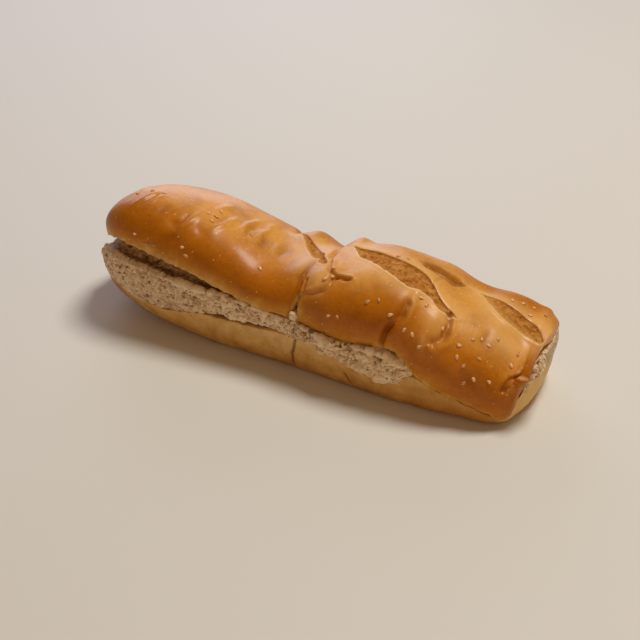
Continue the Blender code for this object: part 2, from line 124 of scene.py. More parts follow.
def noise(points, size, seed):                      # smooth lumps about one size across, -1 to 1
    table = np.random.default_rng(seed).random(8192) * 2 - 1
    q = points / size
    i = np.floor(q).astype(np.int64)
    f = ease(q - i)
    total = 0
    for dx in (0, 1):
        for dy in (0, 1):
            for dz in (0, 1):
                weight = (f[..., 0] if dx else 1 - f[..., 0]) * (f[..., 1] if dy else 1 - f[..., 1])
                weight = weight * (f[..., 2] if dz else 1 - f[..., 2])
                total = total + weight * table[cornerHash(i, (dx, dy, dz), seed)]
    return total


def cells(points, size, seed):                      # distance to the nearest scattered point, in sizes
    table = np.random.default_rng(seed).random((8192, 3))
    q = points / size
    i = np.floor(q).astype(np.int64)
    best = np.full(points.shape[:-1], 9.0)
    for dx in (-1, 0, 1):
        for dy in (-1, 0, 1):
            for dz in (-1, 0, 1):
                spot = i + np.array([dx, dy, dz]) + table[cornerHash(i, (dx, dy, dz), seed)]
                best = np.minimum(best, np.linalg.norm(spot - q, axis=-1))
    return best


def gridNormals(grid):
    across = np.gradient(grid, axis=1)
    along = np.gradient(grid, axis=0)
    normal = np.cross(along, across)
    normal /= np.maximum(np.linalg.norm(normal, axis=2, keepdims=True), 1e-9)
    across /= np.maximum(np.linalg.norm(across, axis=2, keepdims=True), 1e-9)
    return normal, across


def wrappedNormals(rings):                          # the same where the last point meets the first
    wide = np.concatenate([rings[:, -1:], rings, rings[:, :1]], axis=1)
    return gridNormals(wide)[0][:, 1:-1]


def ringsMesh(name, rings, looks, outward=1):
    count, size = rings.shape[:2]
    points = np.concatenate([rings.reshape(-1, 3), rings[:1].mean(axis=1), rings[-1:].mean(axis=1)])
    i = np.arange(count - 1)[:, None] * size
    j = np.arange(size)[None]
    k = (j + 1) % size
    quads = np.stack([i + j, i + size + j, i + size + k, i + k], -1).reshape(-1, 4)[:, ::outward]
    last = (count - 1) * size
    j, k = j[0], k[0]
    tips = np.concatenate([np.stack([np.full(size, count * size), j, k], -1),
                           np.stack([np.full(size, count * size + 1), last + k, last + j], -1)])[:, ::outward]
    mesh = bpy.data.meshes.new(name)
    mesh.vertices.add(len(points))
    mesh.vertices.foreach_set("co", ((points + shift) * mm).astype(np.float32).ravel())
    loops = np.concatenate([quads.ravel(), tips.ravel()])
    mesh.loops.add(len(loops))
    mesh.loops.foreach_set("vertex_index", loops.astype(np.int32))
    starts = np.concatenate([np.arange(len(quads)) * 4, len(quads) * 4 + np.arange(len(tips)) * 3])
    mesh.polygons.add(len(starts))
    mesh.polygons.foreach_set("loop_start", starts.astype(np.int32))
    mesh.polygons.foreach_set("use_smooth", np.ones(len(starts), bool))
    for look, values in looks.items():
        ends = [values[0].mean(), values[-1].mean()]
        layer = mesh.attributes.new(look, "FLOAT", "POINT")
        layer.data.foreach_set("value", np.concatenate([values.ravel(), ends]).astype(np.float32))
    mesh.update(calc_edges=True)
    mesh.validate()
    piece = bpy.data.objects.new(name, mesh)
    bpy.context.scene.collection.objects.link(piece)
    print(f"{name}: {len(mesh.polygons)} faces")
    return piece


# ---- top half: the glazed crust with its slashes, folds and cut face

topHalf = {
    # x, front lip y and z, back lip y and z, height of the dome over the lips, rise of the cut face
    "stations": [
        (-117.4, 0.0, 39.5, 0.0, 39.5, 0.5, 0.0),
        (-116.2, -9.0, 39.6, 9.0, 35.5, 6.4, 0.0),
        (-112.2, -18.0, 41.2, 18.0, 31.0, 12.8, 0.0),
        (-105.0, -25.0, 44.4, 25.0, 27.0, 19.4, 0.0),
        (-92.0, -30.0, 47.0, 30.0, 25.0, 25.3, 0.0),
        (-76.0, -31.5, 45.0, 32.0, 24.0, 27.6, 0.0),
        (-58.0, -31.5, 41.0, 32.5, 23.0, 28.0, 0.0),
        (-38.0, -31.5, 36.0, 32.5, 22.0, 25.0, 0.0),
        (-16.0, -31.5, 31.0, 32.5, 22.0, 20.5, 1.0),
        (4.0, -31.5, 30.0, 32.0, 22.0, 24.0, 1.5),
        (22.0, -32.0, 26.5, 32.0, 22.0, 28.0, 2.0),
        (38.0, -32.0, 28.0, 32.0, 22.0, 28.5, 1.5),
        (50.0, -32.0, 29.5, 32.0, 22.0, 27.0, 1.5),
        (58.0, -32.0, 25.0, 31.8, 22.0, 28.0, 2.5),
        (66.0, -32.0, 17.5, 31.5, 22.0, 28.4, 4.5),
        (80.0, -31.5, 13.0, 31.0, 21.0, 26.2, 7.0),
        (93.0, -29.5, 8.5, 30.3, 20.8, 23.8, 8.5),
        (101.0, -26.8, 5.2, 29.6, 20.5, 21.5, 9.5),
        (106.0, -23.0, 5.0, 28.2, 20.5, 21.0, 8.5),
        (108.3, -19.5, 14.0, 27.0, 21.5, 16.4, 6.0),
        (110.3, -16.0, 21.5, 25.5, 23.0, 12.3, 4.0),
        (112.0, -11.0, 28.5, 23.0, 24.5, 8.3, 1.5),
        (113.0, -4.0, 32.0, 15.0, 27.5, 4.4, 0.5),
        (113.4, 4.0, 30.5, 6.0, 30.0, 0.5, 0.0),
    ],
    "rings": 440, "crustPoints": 205, "cutPoints": 18,
    "flareDeg": 18.0,      # how far the crust curls in below its widest line
    "boxy": 0.9,           # under 1 squares the section a little
    "tipTuck": 7.0, "endTuck": 1.5, "cutArch": 2.6,
    "uprightFrom": 66.0, "uprightTo": 90.0,            # from leaning with the cut to standing straight
    "creasedFrom": -28.0, "creasedDenser": 1.3, "backThin": 0.08,
    # the tear between the lobes, open at the lip: x, how far down the crust still reaches
    "tear": [(0.6, -60.0), (1.3, -45.0), (2.2, -41.0), (3.0, -38.5), (3.8, -37.0), (4.4, -43.0), (5.0, -60.0)],
    # slashes: (x, front and back edge as distance round the crust from the crown, minus to the front)
    "slashes": [
        {"edges": [(-22.0, 15.0, 15.5), (-16.0, 9.0, 11.5), (-10.0, 1.5, 7.0), (-3.0, -7.5, 0.8),
                   (3.0, -13.5, -6.0), (7.5, -16.0, -11.0), (9.5, -15.0, -14.0)],
         "step": 0.35, "deep": 0.7, "bulge": 0.3, "rim": 0.25, "lean": 0.3, "pale": 0.6, "paleMm": 1.5, "line": 0.25, "halo": 0.8},
        {"edges": [(14.0, 5.5, 7.0), (21.0, -2.5, 6.0), (28.0, -6.0, 5.0), (36.0, -10.8, 2.6), (44.0, -15.6, 0.3),
                   (51.0, -18.0, -2.5), (57.0, -15.5, -4.7), (62.0, -13.8, -6.7), (67.0, -13.9, -8.8),
                   (72.0, -13.5, -11.0), (74.5, -13.0, -12.5)],
         "step": 0.5, "deep": 1.0, "bulge": 0.9, "rim": 0.3, "lean": 0.4, "pale": 0.25, "paleMm": 1.4, "line": 1.0, "halo": 1.0},
        {"edges": [(77.0, 12.5, 13.0), (83.0, 5.5, 12.0), (88.0, 1.8, 11.0), (93.0, -0.5, 9.8), (98.0, -1.6, 8.4),
                   (102.0, -2.6, 7.0), (105.5, -4.0, 4.6), (108.5, -6.6, 0.0), (111.5, -11.0, -8.0)],
         "step": 0.3, "deep": 0.8, "bulge": 0.4, "rim": 0.25, "lean": 0.3, "pale": 0.9, "paleMm": 2.6, "line": 0.6, "halo": 1.0},
        {"edges": [(-79.5, -47.6, -47.4), (-77.0, -48.4, -47.2), (-74.0, -48.0, -46.4), (-72.0, -46.8, -46.4)],
         "step": 0.1, "deep": 0.2, "bulge": 0.0, "rim": 0.3, "lean": 0.0, "pale": 0.5, "paleMm": 3.0, "line": 0.3, "halo": 0.0},
        {"edges": [(88.5, -49.8, -49.6), (90.0, -50.2, -49.0), (92.5, -49.2, -48.0), (94.0, -48.2, -47.9)],
         "step": 0.1, "deep": 0.3, "bulge": 0.0, "rim": 0.4, "lean": 0.0, "pale": 0.3, "paleMm": 3.0, "line": 0.3, "halo": 0.0},
        {"edges": [(97.5, -46.6, -46.2), (99.5, -46.2, -45.0), (102.0, -44.6, -44.0)],
         "step": 0.1, "deep": 0.3, "bulge": 0.0, "rim": 0.4, "lean": 0.0, "pale": 0.3, "paleMm": 3.0, "line": 0.3, "halo": 0.0},
        {"edges": [(103.8, -29.4, -28.6), (105.1, -26.0, -24.9), (107.5, -24.7, -23.6), (109.7, -25.9, -24.9),
                   (110.8, -28.2, -27.6)],
         "step": 0.0, "deep": 0.0, "bulge": 0.3, "rim": 0.5, "lean": 0.0, "pale": 1.0, "paleMm": 6.0, "line": 0.3, "halo": 0.0},
    ],
    # creases (minus depth for ridges): path, width and depth at its two ends, how far its left side stands up
    "creases": [
        {"path": [(5.6, -27.0), (6.0, -31.5), (4.6, -36.5), (3.6, -41.0), (2.6, -49.0)],
         "width": (0.6, 1.3), "depth": (2.6, 3.8), "stand": 0.2},
        {"path": [(1.0, -26.0), (1.0, -34.0), (0.3, -44.0), (-0.3, -50.0)],
         "width": (2.0, 2.4), "depth": (0.8, 1.6), "stand": 0.0},
        {"path": [(7.0, -33.5), (11.0, -32.5), (15.2, -30.0), (17.2, -26.5), (17.6, -23.0)],
         "width": (0.9, 1.3), "depth": (0.4, 2.4), "stand": 0.6},
        {"path": [(10.5, -12.5), (14.0, -18.5), (17.5, -21.5), (20.5, -20.8), (25.0, -21.5)],
         "width": (1.0, 0.9), "depth": (2.2, 1.6), "stand": 0.5},
        {"path": [(3.0, 36.0), (5.0, 14.0), (6.3, 6.0), (6.8, 0.0), (8.2, -7.0), (10.0, -12.0)],
         "width": (1.8, 1.2), "depth": (2.2, 1.4), "stand": 0.3},
        {"path": [(-25.0, 34.0), (-22.5, 14.0)], "width": (2.2, 1.8), "depth": (1.8, 1.6), "stand": 0.0},
        {"path": [(54.5, -26.0), (53.5, -31.0), (51.0, -37.0), (48.5, -43.0), (46.5, -50.0)],
         "width": (1.9, 1.3), "depth": (2.4, 3.6), "stand": 1.0},
        {"path": [(71.0, -13.0), (73.4, -17.0), (74.0, -21.5), (72.8, -25.5), (69.5, -29.0)],
         "width": (1.0, 1.8), "depth": (3.6, 1.4), "stand": 1.0},
        {"path": [(57.5, -9.5), (61.5, 4.5)], "width": (0.7, 0.5), "depth": (0.7, 0.4), "stand": 0.0},
        {"path": [(101.8, -31.0), (102.2, -28.0), (103.6, -24.4), (106.4, -22.4)],
         "width": (0.9, 1.0), "depth": (1.6, 1.0), "stand": 0.2},
    ],
    # soft wrinkles along the left lobe: path, width, height
    "wrinkles": [
        {"path": [(-36.5, 6.0), (-38.7, -7.0), (-37.8, -19.0)], "width": 1.5, "height": 1.3},
        {"path": [(-35.0, 2.0), (-36.0, -8.0), (-34.0, -19.0)], "width": 1.5, "height": -0.9},
        {"path": [(-57.0, -16.0), (-59.5, -28.0), (-62.0, -36.0), (-70.0, -41.0)], "width": 1.7, "height": 1.2},
        {"path": [(-60.0, -20.0), (-62.5, -30.0), (-67.0, -37.0)], "width": 1.6, "height": -0.8},
        {"path": [(-43.0, -4.0), (-46.0, -17.0), (-50.0, -29.0)], "width": 1.7, "height": 1.1},
        {"path": [(-46.5, -8.0), (-50.5, -24.0)], "width": 1.6, "height": -0.9},
        {"path": [(-31.5, 12.0), (-30.5, -6.0), (-29.0, -22.0)], "width": 1.6, "height": 0.9},
        {"path": [(-27.5, -2.0), (-26.0, -18.0)], "width": 1.8, "height": -0.6},
        {"path": [(-19.0, 0.0), (-16.0, -17.0)], "width": 1.9, "height": -0.8},
        {"path": [(-22.5, -2.0), (-20.0, -18.0)], "width": 1.5, "height": 0.7},
        {"path": [(-83.0, -14.0), (-88.0, -26.0), (-93.0, -34.0)], "width": 1.6, "height": 1.0},
        {"path": [(-79.0, -15.0), (-83.0, -26.0), (-87.5, -35.0)], "width": 1.5, "height": 0.9},
        {"path": [(-81.0, -14.0), (-85.5, -26.0), (-90.5, -35.0)], "width": 1.3, "height": -0.8},
        {"path": [(-73.0, -22.0), (-76.0, -34.0)], "width": 2.0, "height": -0.7},
        {"path": [(-95.0, -4.0), (-97.0, -24.0)], "width": 2.0, "height": 0.7},
        {"path": [(-52.0, 4.0), (-54.0, -14.0)], "width": 1.7, "height": 0.7},
        {"path": [(24.0, -14.0), (27.0, -26.0)], "width": 2.2, "height": 0.5},
        {"path": [(90.0, -8.0), (88.0, -22.0)], "width": 2.4, "height": -0.6},
    ],
    # a fold pressed into the skin: outline like a slash's, how deep
    "pressed": {"edges": [(47.0, 6.5, 7.5), (51.5, 2.4, 8.0), (58.0, 2.0, 9.6), (62.5, 4.2, 11.6),
                          (67.0, 5.6, 14.0), (70.5, 11.5, 12.5)], "deep": 2.8, "edgeMm": 1.9},
    # swellings and dents: centre, radii, turn in degrees, height, and for some how much paler the skin is painted
    # there, partly skin pulled thin and partly a painted sheen
    "swells": [
        {"centre": (-11.5, 17.0), "radii": (7.5, 14.0), "turn": 0.0, "height": 4.4},
        {"centre": (1.5, 20.0), "radii": (6.5, 12.0), "turn": 0.0, "height": -3.8},
        {"centre": (12.0, 19.0), "radii": (4.5, 10.0), "turn": 0.0, "height": 2.8},
        {"centre": (11.0, -25.0), "radii": (6.0, 8.0), "turn": 0.0, "height": 2.4, "pale": 0.9},
        {"centre": (-1.5, -18.0), "radii": (4.0, 6.5), "turn": 0.0, "height": 0.8, "pale": 0.9},
        {"centre": (30.0, -27.0), "radii": (22.0, 15.0), "turn": -14.0, "height": 1.8},
        {"centre": (67.0, -21.0), "radii": (5.5, 9.0), "turn": 0.0, "height": 1.5, "pale": 0.5},
        {"centre": (56.0, -22.5), "radii": (1.9, 7.0), "turn": 0.0, "height": 0.9, "pale": 0.8},
        {"centre": (65.0, -31.0), "radii": (2.2, 5.0), "turn": 0.0, "height": 0.9, "pale": 0.6},
        {"centre": (98.0, -11.0), "radii": (8.0, 6.5), "turn": 0.0, "height": 0.4, "pale": 1.0},
        {"centre": (30.0, -14.0), "radii": (8.0, 6.0), "turn": 20.0, "height": 0.3, "pale": 0.6},
        {"centre": (28.0, 16.0), "radii": (16.0, 9.0), "turn": 0.0, "height": 1.6},
        {"centre": (76.0, 20.0), "radii": (10.0, 12.0), "turn": 0.0, "height": -3.5},
        {"centre": (88.0, -22.0), "radii": (16.0, 14.0), "turn": 0.0, "height": 1.0},
        {"centre": (86.0, -37.0), "radii": (3.0, 5.0), "turn": 0.0, "height": -1.2},
        {"centre": (107.0, -26.4), "radii": (3.2, 2.6), "turn": 10.0, "height": 2.8},
        {"centre": (-66.5, -33.0), "radii": (2.6, 3.0), "turn": 0.0, "height": -0.8},
        {"centre": (-52.3, -29.3), "radii": (3.2, 2.8), "turn": 0.0, "height": -0.7},
    ],
    "haloMm": 8.0,         # how far round a slash the skin is painted paler: partly skin pulled thin, partly a painted sheen
    "wallMm": 1.0,         # how steep the slashes' sides are
    "unevenMm": 0.38,      # soft lumps of the whole crust
    "crumbMm": 0.5,        # roughness of the bread inside the slashes
}


def tuckIn(x):
    left, right = topHalf["stations"][0][0], topHalf["stations"][-1][0]
    tuck = topHalf["tipTuck"]
    return tuck * np.exp((left - x) / tuck) - topHalf["endTuck"] * np.exp((x - right) / 4.0)


def lipCurves():
    t = np.linspace(0, len(topHalf["stations"]) - 1, 900)
    x, frontY, frontZ, backY, backZ, dome, rise = (through(topHalf["stations"], c, t) for c in range(7))
    return x + tuckIn(x), frontY, frontZ, backY, backZ, rise


def cutFace(x, y):                                  # height of the top half's cut face over the plan
    lipX, frontY, frontZ, backY, backZ, rise = lipCurves()
    low, high = np.interp(x, lipX, frontY), np.interp(x, lipX, backY)
    v = np.clip((y - low) / np.maximum(high - low, 1e-3), 0, 1)
    plain = np.interp(x, lipX, frontZ) * (1 - v) + np.interp(x, lipX, backZ) * v
    return plain + np.interp(x, lipX, rise) * (1 - np.abs(2 * v - 1) ** topHalf["cutArch"])


def slashField(x, s, slash):                        # distance to the outline, inward from the front edge, width
    t = np.linspace(0, len(slash["edges"]) - 1, 240)
    edgeX, front, back = (through(slash["edges"], c, t) for c in range(3))
    fromFront = (s - np.interp(x, edgeX, front)) * np.interp(x, edgeX, 1 / np.hypot(1, np.gradient(front, edgeX)))
    fromBack = (np.interp(x, edgeX, back) - s) * np.interp(x, edgeX, 1 / np.hypot(1, np.gradient(back, edgeX)))
    beyond = np.maximum(0, np.maximum(edgeX[0] - x, x - edgeX[-1]))
    inside = np.minimum(fromFront, fromBack)
    outside = np.hypot(np.maximum(-inside, 0), beyond)
    return np.where((inside > 0) & (beyond == 0), -inside, outside), fromFront, fromFront + fromBack


def nearestOnPath(x, s, path):                      # distance, share of the length, side
    points = np.array(path, float)
    lengths = np.linalg.norm(np.diff(points, axis=0), axis=1)
    passed = np.concatenate([[0], np.cumsum(lengths)])
    best, share, side = np.full(x.shape, 1e9), np.zeros(x.shape), np.zeros(x.shape)
    for i, length in enumerate(lengths):
        run = (points[i + 1] - points[i]) / length
        dx, ds = x - points[i, 0], s - points[i, 1]
        along = np.clip(dx * run[0] + ds * run[1], 0, length)
        away = np.hypot(dx - along * run[0], ds - along * run[1])
        nearer = away < best
        best = np.where(nearer, away, best)
        share = np.where(nearer, (passed[i] + along) / passed[-1], share)
        side = np.where(nearer, ds * run[0] - dx * run[1], side)
    return best, share, side


def crustRelief(x, s, spots):
    height = topHalf["unevenMm"] * (noise(spots, 17.0, 3) + 0.35 * noise(spots, 7.0, 4))
    slide = np.zeros(x.shape)
    crumb = np.full(x.shape, 50.0)
    pale = np.zeros(x.shape)
    frontSide = np.zeros(x.shape)
    fold = np.zeros(x.shape)
    paleSkinAndSheen = np.zeros(x.shape)
    for swell in topHalf["swells"]:
        turn = math.radians(swell["turn"])
        dx, ds = x - swell["centre"][0], s - swell["centre"][1]
        a = (dx * math.cos(turn) + ds * math.sin(turn)) / swell["radii"][0]
        b = (ds * math.cos(turn) - dx * math.sin(turn)) / swell["radii"][1]
        height += swell["height"] * np.exp(-(a * a + b * b))
        # Some swellings are painted paler: partly skin pulled thin, partly a painted sheen.
        paleSkinAndSheen = np.maximum(paleSkinAndSheen, swell.get("pale", 0.0) * np.exp(-(a * a + b * b)))
    wander = 0.8 * noise(spots, 4.5, 11)
    uneven = np.clip(0.85 + 0.6 * noise(spots, 4.0, 16), 0.3, 1.4)
    # Creases, dents and the pressed fold are also painted darker in the shader: painted shade in the grooves.
    for crease in topHalf["creases"]:
        away, share, side = nearestOnPath(x + wander, s + wander, crease["path"])
        width = np.interp(share, (0, 1), crease["width"])
        depth = np.interp(share, (0, 1), crease["depth"])
        cut = np.exp(-(away / width) ** 2)
        height -= depth * cut * uneven
        height += crease["stand"] * np.exp(-((away - 1.5 * width) / (1.2 * width)) ** 2) * ease(0.5 + side)
        fold = np.maximum(fold, cut * np.clip(depth * uneven / 6.0, 0, 0.7))
    for wrinkle in topHalf["wrinkles"]:
        away, share, side = nearestOnPath(x + wander, s + wander, wrinkle["path"])
        ripple = np.exp(-(away / wrinkle["width"]) ** 2) * np.sin(math.pi * share) ** 1.5
        height += wrinkle["height"] * ripple
        fold = np.maximum(fold, 0.3 * ripple * (wrinkle["height"] < 0))
    edge, fromFront, width = slashField(x, s, topHalf["pressed"])
    sunk = ease(-edge / topHalf["pressed"]["edgeMm"] + 0.3)
    height -= topHalf["pressed"]["deep"] * sunk * np.clip(0.35 + fromFront / np.maximum(width, 1), 0.3, 1.2)
    first, last = topHalf["pressed"]["edges"][0][0], topHalf["pressed"]["edges"][-1][0]
    fold = np.maximum(fold, sunk * (0.2 + 0.35 * np.clip((x - first) / (last - first), 0, 1)))
    ragged = 0.2 * noise(spots, 2.4, 12) + 0.35 * noise(spots, 5.5, 13)
    flaky = 0.6 - np.abs(noise(spots, 3.4, 17))
    rough = topHalf["crumbMm"] * (noise(spots, 2.3, 14) + 0.6 * noise(spots, 1.1, 15) + flaky)
    for slash in topHalf["slashes"]:
        edge, fromFront, width = slashField(x, s, slash)
        tilt = np.clip(fromFront / np.maximum(width, 0.6), 0, 1)
        edge = edge + ragged * (1 - 0.6 * tilt)
        opened = ease((0.3 - edge) / (topHalf["wallMm"] * (1 + 0.7 * tilt)))
        floor = slash["step"] + slash["deep"] * tilt ** 1.7 - slash["bulge"] * np.sin(math.pi * tilt)
        height += opened * (rough - floor)
        height += slash["rim"] * np.exp(-((edge - 0.6) / 0.8) ** 2) * (tilt < 0.5)
        height += slash["rim"] * np.exp(-((edge - 1.6) / 1.8) ** 2) * (tilt >= 0.5)
        slide -= slash["lean"] * np.exp(-(np.maximum(edge, -3 * edge) / 1.3) ** 2) * (tilt >= 0.5)
        # Round each slash the skin is painted paler: partly skin pulled thin, partly a painted sheen.
        paleSkinAndSheen = np.maximum(paleSkinAndSheen, slash["halo"] * np.clip(1 - edge / topHalf["haloMm"], 0, 1))
        nearer = edge < crumb
        crumb = np.where(nearer, edge, crumb)
        frontSide = np.where(nearer, np.where(tilt < 0.5, slash["line"] * ease(2.5 - 4 * tilt), -1.0), frontSide)
        pale = np.where(nearer, slash["pale"] * np.exp(-(np.maximum(fromFront, 0) / slash["paleMm"]) ** 2), pale)
    return height, slide, {"crumbMm": crumb, "frontSide": frontSide, "paleBread": pale, "creaseShade": fold,
                           "paleSkinAndSheen": paleSkinAndSheen}


def openTear(x, crust, around, lip, crown):         # pulls the lip up where the crust tore apart
    tear = np.array(topHalf["tear"])
    for i in np.nonzero((x > tear[0, 0]) & (x < tear[-1, 0]))[0]:
        reach = np.interp(x[i], tear[:, 0], tear[:, 1])
        if reach <= around[i, 0]:
            continue
        front = around[i] < 0
        wanted = around[i].copy()
        wanted[front] = reach * (around[i, front] / around[i, 0])
        crust[i] = np.stack([np.interp(wanted, around[i], crust[i, :, c]) for c in range(3)], -1)
        lip[i] = np.where(front, wanted - reach, lip[i])
        around[i] = wanted
    return crust, around, lip


def makeTopHalf():
    size = topHalf
    t = evenRows(size["stations"], size["rings"], 0.12, size["creasedFrom"], size["creasedDenser"])
    x, frontY, frontZ, backY, backZ, dome, rise = (through(size["stations"], c, t)[:, None] for c in range(7))
    flare = math.radians(size["flareDeg"])
    share = np.linspace(0, 1, size["crustPoints"])[None]
    angle = -flare + (math.pi + 2 * flare) * (share - size["backThin"] * share * (1 - share) * 4)
    cosine, sine, low = np.cos(angle), np.sin(angle), math.sin(flare) ** size["boxy"]
    along = -np.sign(cosine) * np.abs(cosine) ** size["boxy"] / math.cos(flare) ** size["boxy"]
    high = (np.sign(sine) * np.abs(sine) ** size["boxy"] + low) / (1 + low)
    halfY, halfZ = (backY - frontY) / 2, (backZ - frontZ) / 2
    length = np.hypot(halfY, halfZ)
    upright = ease((x - size["uprightFrom"]) / (size["uprightTo"] - size["uprightFrom"]))
    lean = -halfZ / length * (1 - upright)
    y = (frontY + backY) / 2 + halfY * along + lean * dome * high
    z = (frontZ + backZ) / 2 + halfZ * along + np.sqrt(1 - lean ** 2) * dome * high
    crust = np.stack([x + tuckIn(x) * (1 - high) ** 2, y, z], -1)

    step = np.linalg.norm(np.diff(crust, axis=1), axis=2)
    travel = np.concatenate([np.zeros((size["rings"], 1)), np.cumsum(step, axis=1)], axis=1)
    crown = np.array([np.interp(math.pi / 2, angle[0], row) for row in travel])
    around = travel - crown[:, None]
    height, slide, looks = crustRelief(np.repeat(x, size["crustPoints"], 1), around, crust)
    lip = np.minimum(travel, travel[:, -1:] - travel)
    left, right = size["stations"][0][0], size["stations"][-1][0]
    fade = np.clip(lip / 2.0, 0, 1) * np.clip((x - left) / 5.0, 0, 1) * np.clip((right - x) / 3.0, 0, 1)
    normal, across = gridNormals(crust)
    crust = crust + normal * (height * fade)[..., None] + across * (slide * fade)[..., None]
    nick = 0.6 * noise(crust, 5.0, 21) + 0.9 * noise(crust, 1.9, 22)   # the torn, uneven edge of the cut
    crust[..., 2] += nick * np.exp(-(lip / 1.2) ** 2)
    crust, around, lip = openTear(x[:, 0], crust, around, lip, crown)
    tearEdge = size["tear"][-1][0] - 0.5
    besideTear = (around < -33) & (x > tearEdge)
    lip = np.minimum(lip, np.where(besideTear, 1.5 * (x - tearEdge), 99))

    v = (np.arange(1, size["cutPoints"] + 1) / (size["cutPoints"] + 1))[None, :, None]
    under = crust[:, -1:] * (1 - v) + crust[:, :1] * v
    under[..., 2] += rise * (1 - np.abs(2 * v[..., 0] - 1) ** size["cutArch"]) + 0.4 * noise(under, 2.6, 23)
    blank = np.zeros(under.shape[:2])
    looks["crumbMm"] = np.concatenate([looks["crumbMm"], blank - 50.0], 1)
    looks["lipMm"] = np.concatenate([lip + np.maximum(0, x - 99) * 0.7, blank], 1)
    for name in ("frontSide", "paleBread", "creaseShade", "paleSkinAndSheen"):
        looks[name] = np.concatenate([looks[name], blank + (name == "paleBread")], 1)
    looks["aroundMm"] = np.concatenate([around, blank], 1)
    rings = np.concatenate([crust, under], axis=1)
    surface = {"points": crust, "normals": gridNormals(crust)[0], "around": around,
               "crumb": looks["crumbMm"], "x": x[:, 0]}
    return ringsMesh("glazedTopHalf", rings, looks), surface


# ---- bottom half: plain crust, flat underneath, cut across its top

bottomHalf = {
    # x, front edge y and z, back edge y and z, base z, base front y, base back y
    "stations": [
        (-119.5, -5.5, 22.0, 6.0, 19.0, 15.5, -2.0, 4.0),
        (-117.0, -13.0, 21.5, 12.0, 18.0, 11.5, -6.0, 7.0),
        (-111.0, -20.0, 21.5, 19.0, 16.5, 7.5, -10.0, 12.0),
        (-102.0, -26.0, 21.0, 25.0, 15.5, 4.6, -13.5, 17.0),
        (-91.0, -29.5, 18.5, 29.0, 15.0, 2.8, -15.5, 21.0),
        (-79.0, -31.0, 15.8, 30.5, 14.5, 1.5, -18.0, 23.0),
        (-66.0, -31.5, 15.8, 31.5, 14.0, 0.6, -20.5, 25.0),
        (-48.0, -31.5, 18.6, 32.0, 14.0, 0.0, -24.0, 26.0),
        (-30.0, -31.5, 19.4, 32.0, 14.0, 0.0, -25.0, 27.0),
        (-10.0, -31.5, 20.8, 32.0, 14.0, 0.0, -25.5, 28.0),
        (6.0, -31.5, 20.8, 32.0, 14.0, 0.0, -26.5, 28.0),
        (16.0, -31.5, 21.6, 32.0, 14.0, 0.0, -27.2, 28.0),
        (26.0, -31.5, 21.0, 32.0, 14.0, 0.0, -27.5, 28.0),
        (33.0, -31.5, 15.0, 32.0, 13.5, 0.0, -27.8, 28.0),
        (44.0, -31.5, 12.8, 32.0, 12.5, 0.0, -28.0, 28.0),
        (54.0, -31.5, 13.8, 32.0, 12.0, 0.0, -28.0, 28.0),
        (61.0, -31.5, 18.0, 31.8, 11.5, 0.0, -28.0, 27.8),
        (70.0, -31.5, 17.0, 31.4, 11.0, 0.0, -28.0, 27.5),
        (80.0, -31.0, 13.5, 31.0, 11.0, 0.0, -26.5, 27.0),
        (94.0, -29.0, 10.0, 29.5, 10.5, 0.0, -23.5, 25.0),
        (103.0, -24.5, 9.5, 28.5, 12.5, 0.2, -19.5, 23.0),
        (107.5, -19.0, 13.0, 27.5, 13.5, 1.5, -12.5, 21.0),
        (110.0, -13.0, 20.0, 26.0, 15.5, 3.4, -6.5, 18.0),
        (111.6, -8.5, 20.5, 22.5, 18.0, 6.5, -1.0, 14.0),
        (112.4, -3.0, 20.0, 16.0, 19.0, 9.0, 2.0, 11.0),
    ],
    "rings": 420, "sidePoints": 44, "facePoints": 30,
    "bulge": 1.8, "dish": 1.0, "seam": 0.25,
    # cracks down the front: path in (x, z), width, depth
    "cracks": [
        {"path": [(3.5, 24.0), (3.0, 17.0), (1.0, 11.0), (1.5, 4.0)], "width": 0.55, "depth": 1.3},
        {"path": [(29.0, 9.0), (31.0, 5.0), (34.0, 1.5)], "width": 0.5, "depth": 1.0},
        {"path": [(-83.0, 13.0), (-76.0, 8.0), (-70.0, 5.0)], "width": 0.6, "depth": 1.0},
    ],
}


def bottomFace(x, y):
    t = np.linspace(0, len(bottomHalf["stations"]) - 1, 900)
    rows = [through(bottomHalf["stations"], c, t) for c in range(5)]
    low, lowZ, high, highZ = (np.interp(x, rows[0], rows[c]) for c in range(1, 5))
    v = np.clip((y - low) / np.maximum(high - low, 1e-3), 0, 1)
    dish = bottomHalf["dish"] * np.clip((high - low) / 40, 0.1, 1)
    return lowZ * (1 - v) + highZ * v - dish * (1 - np.abs(2 * v - 1) ** 4)


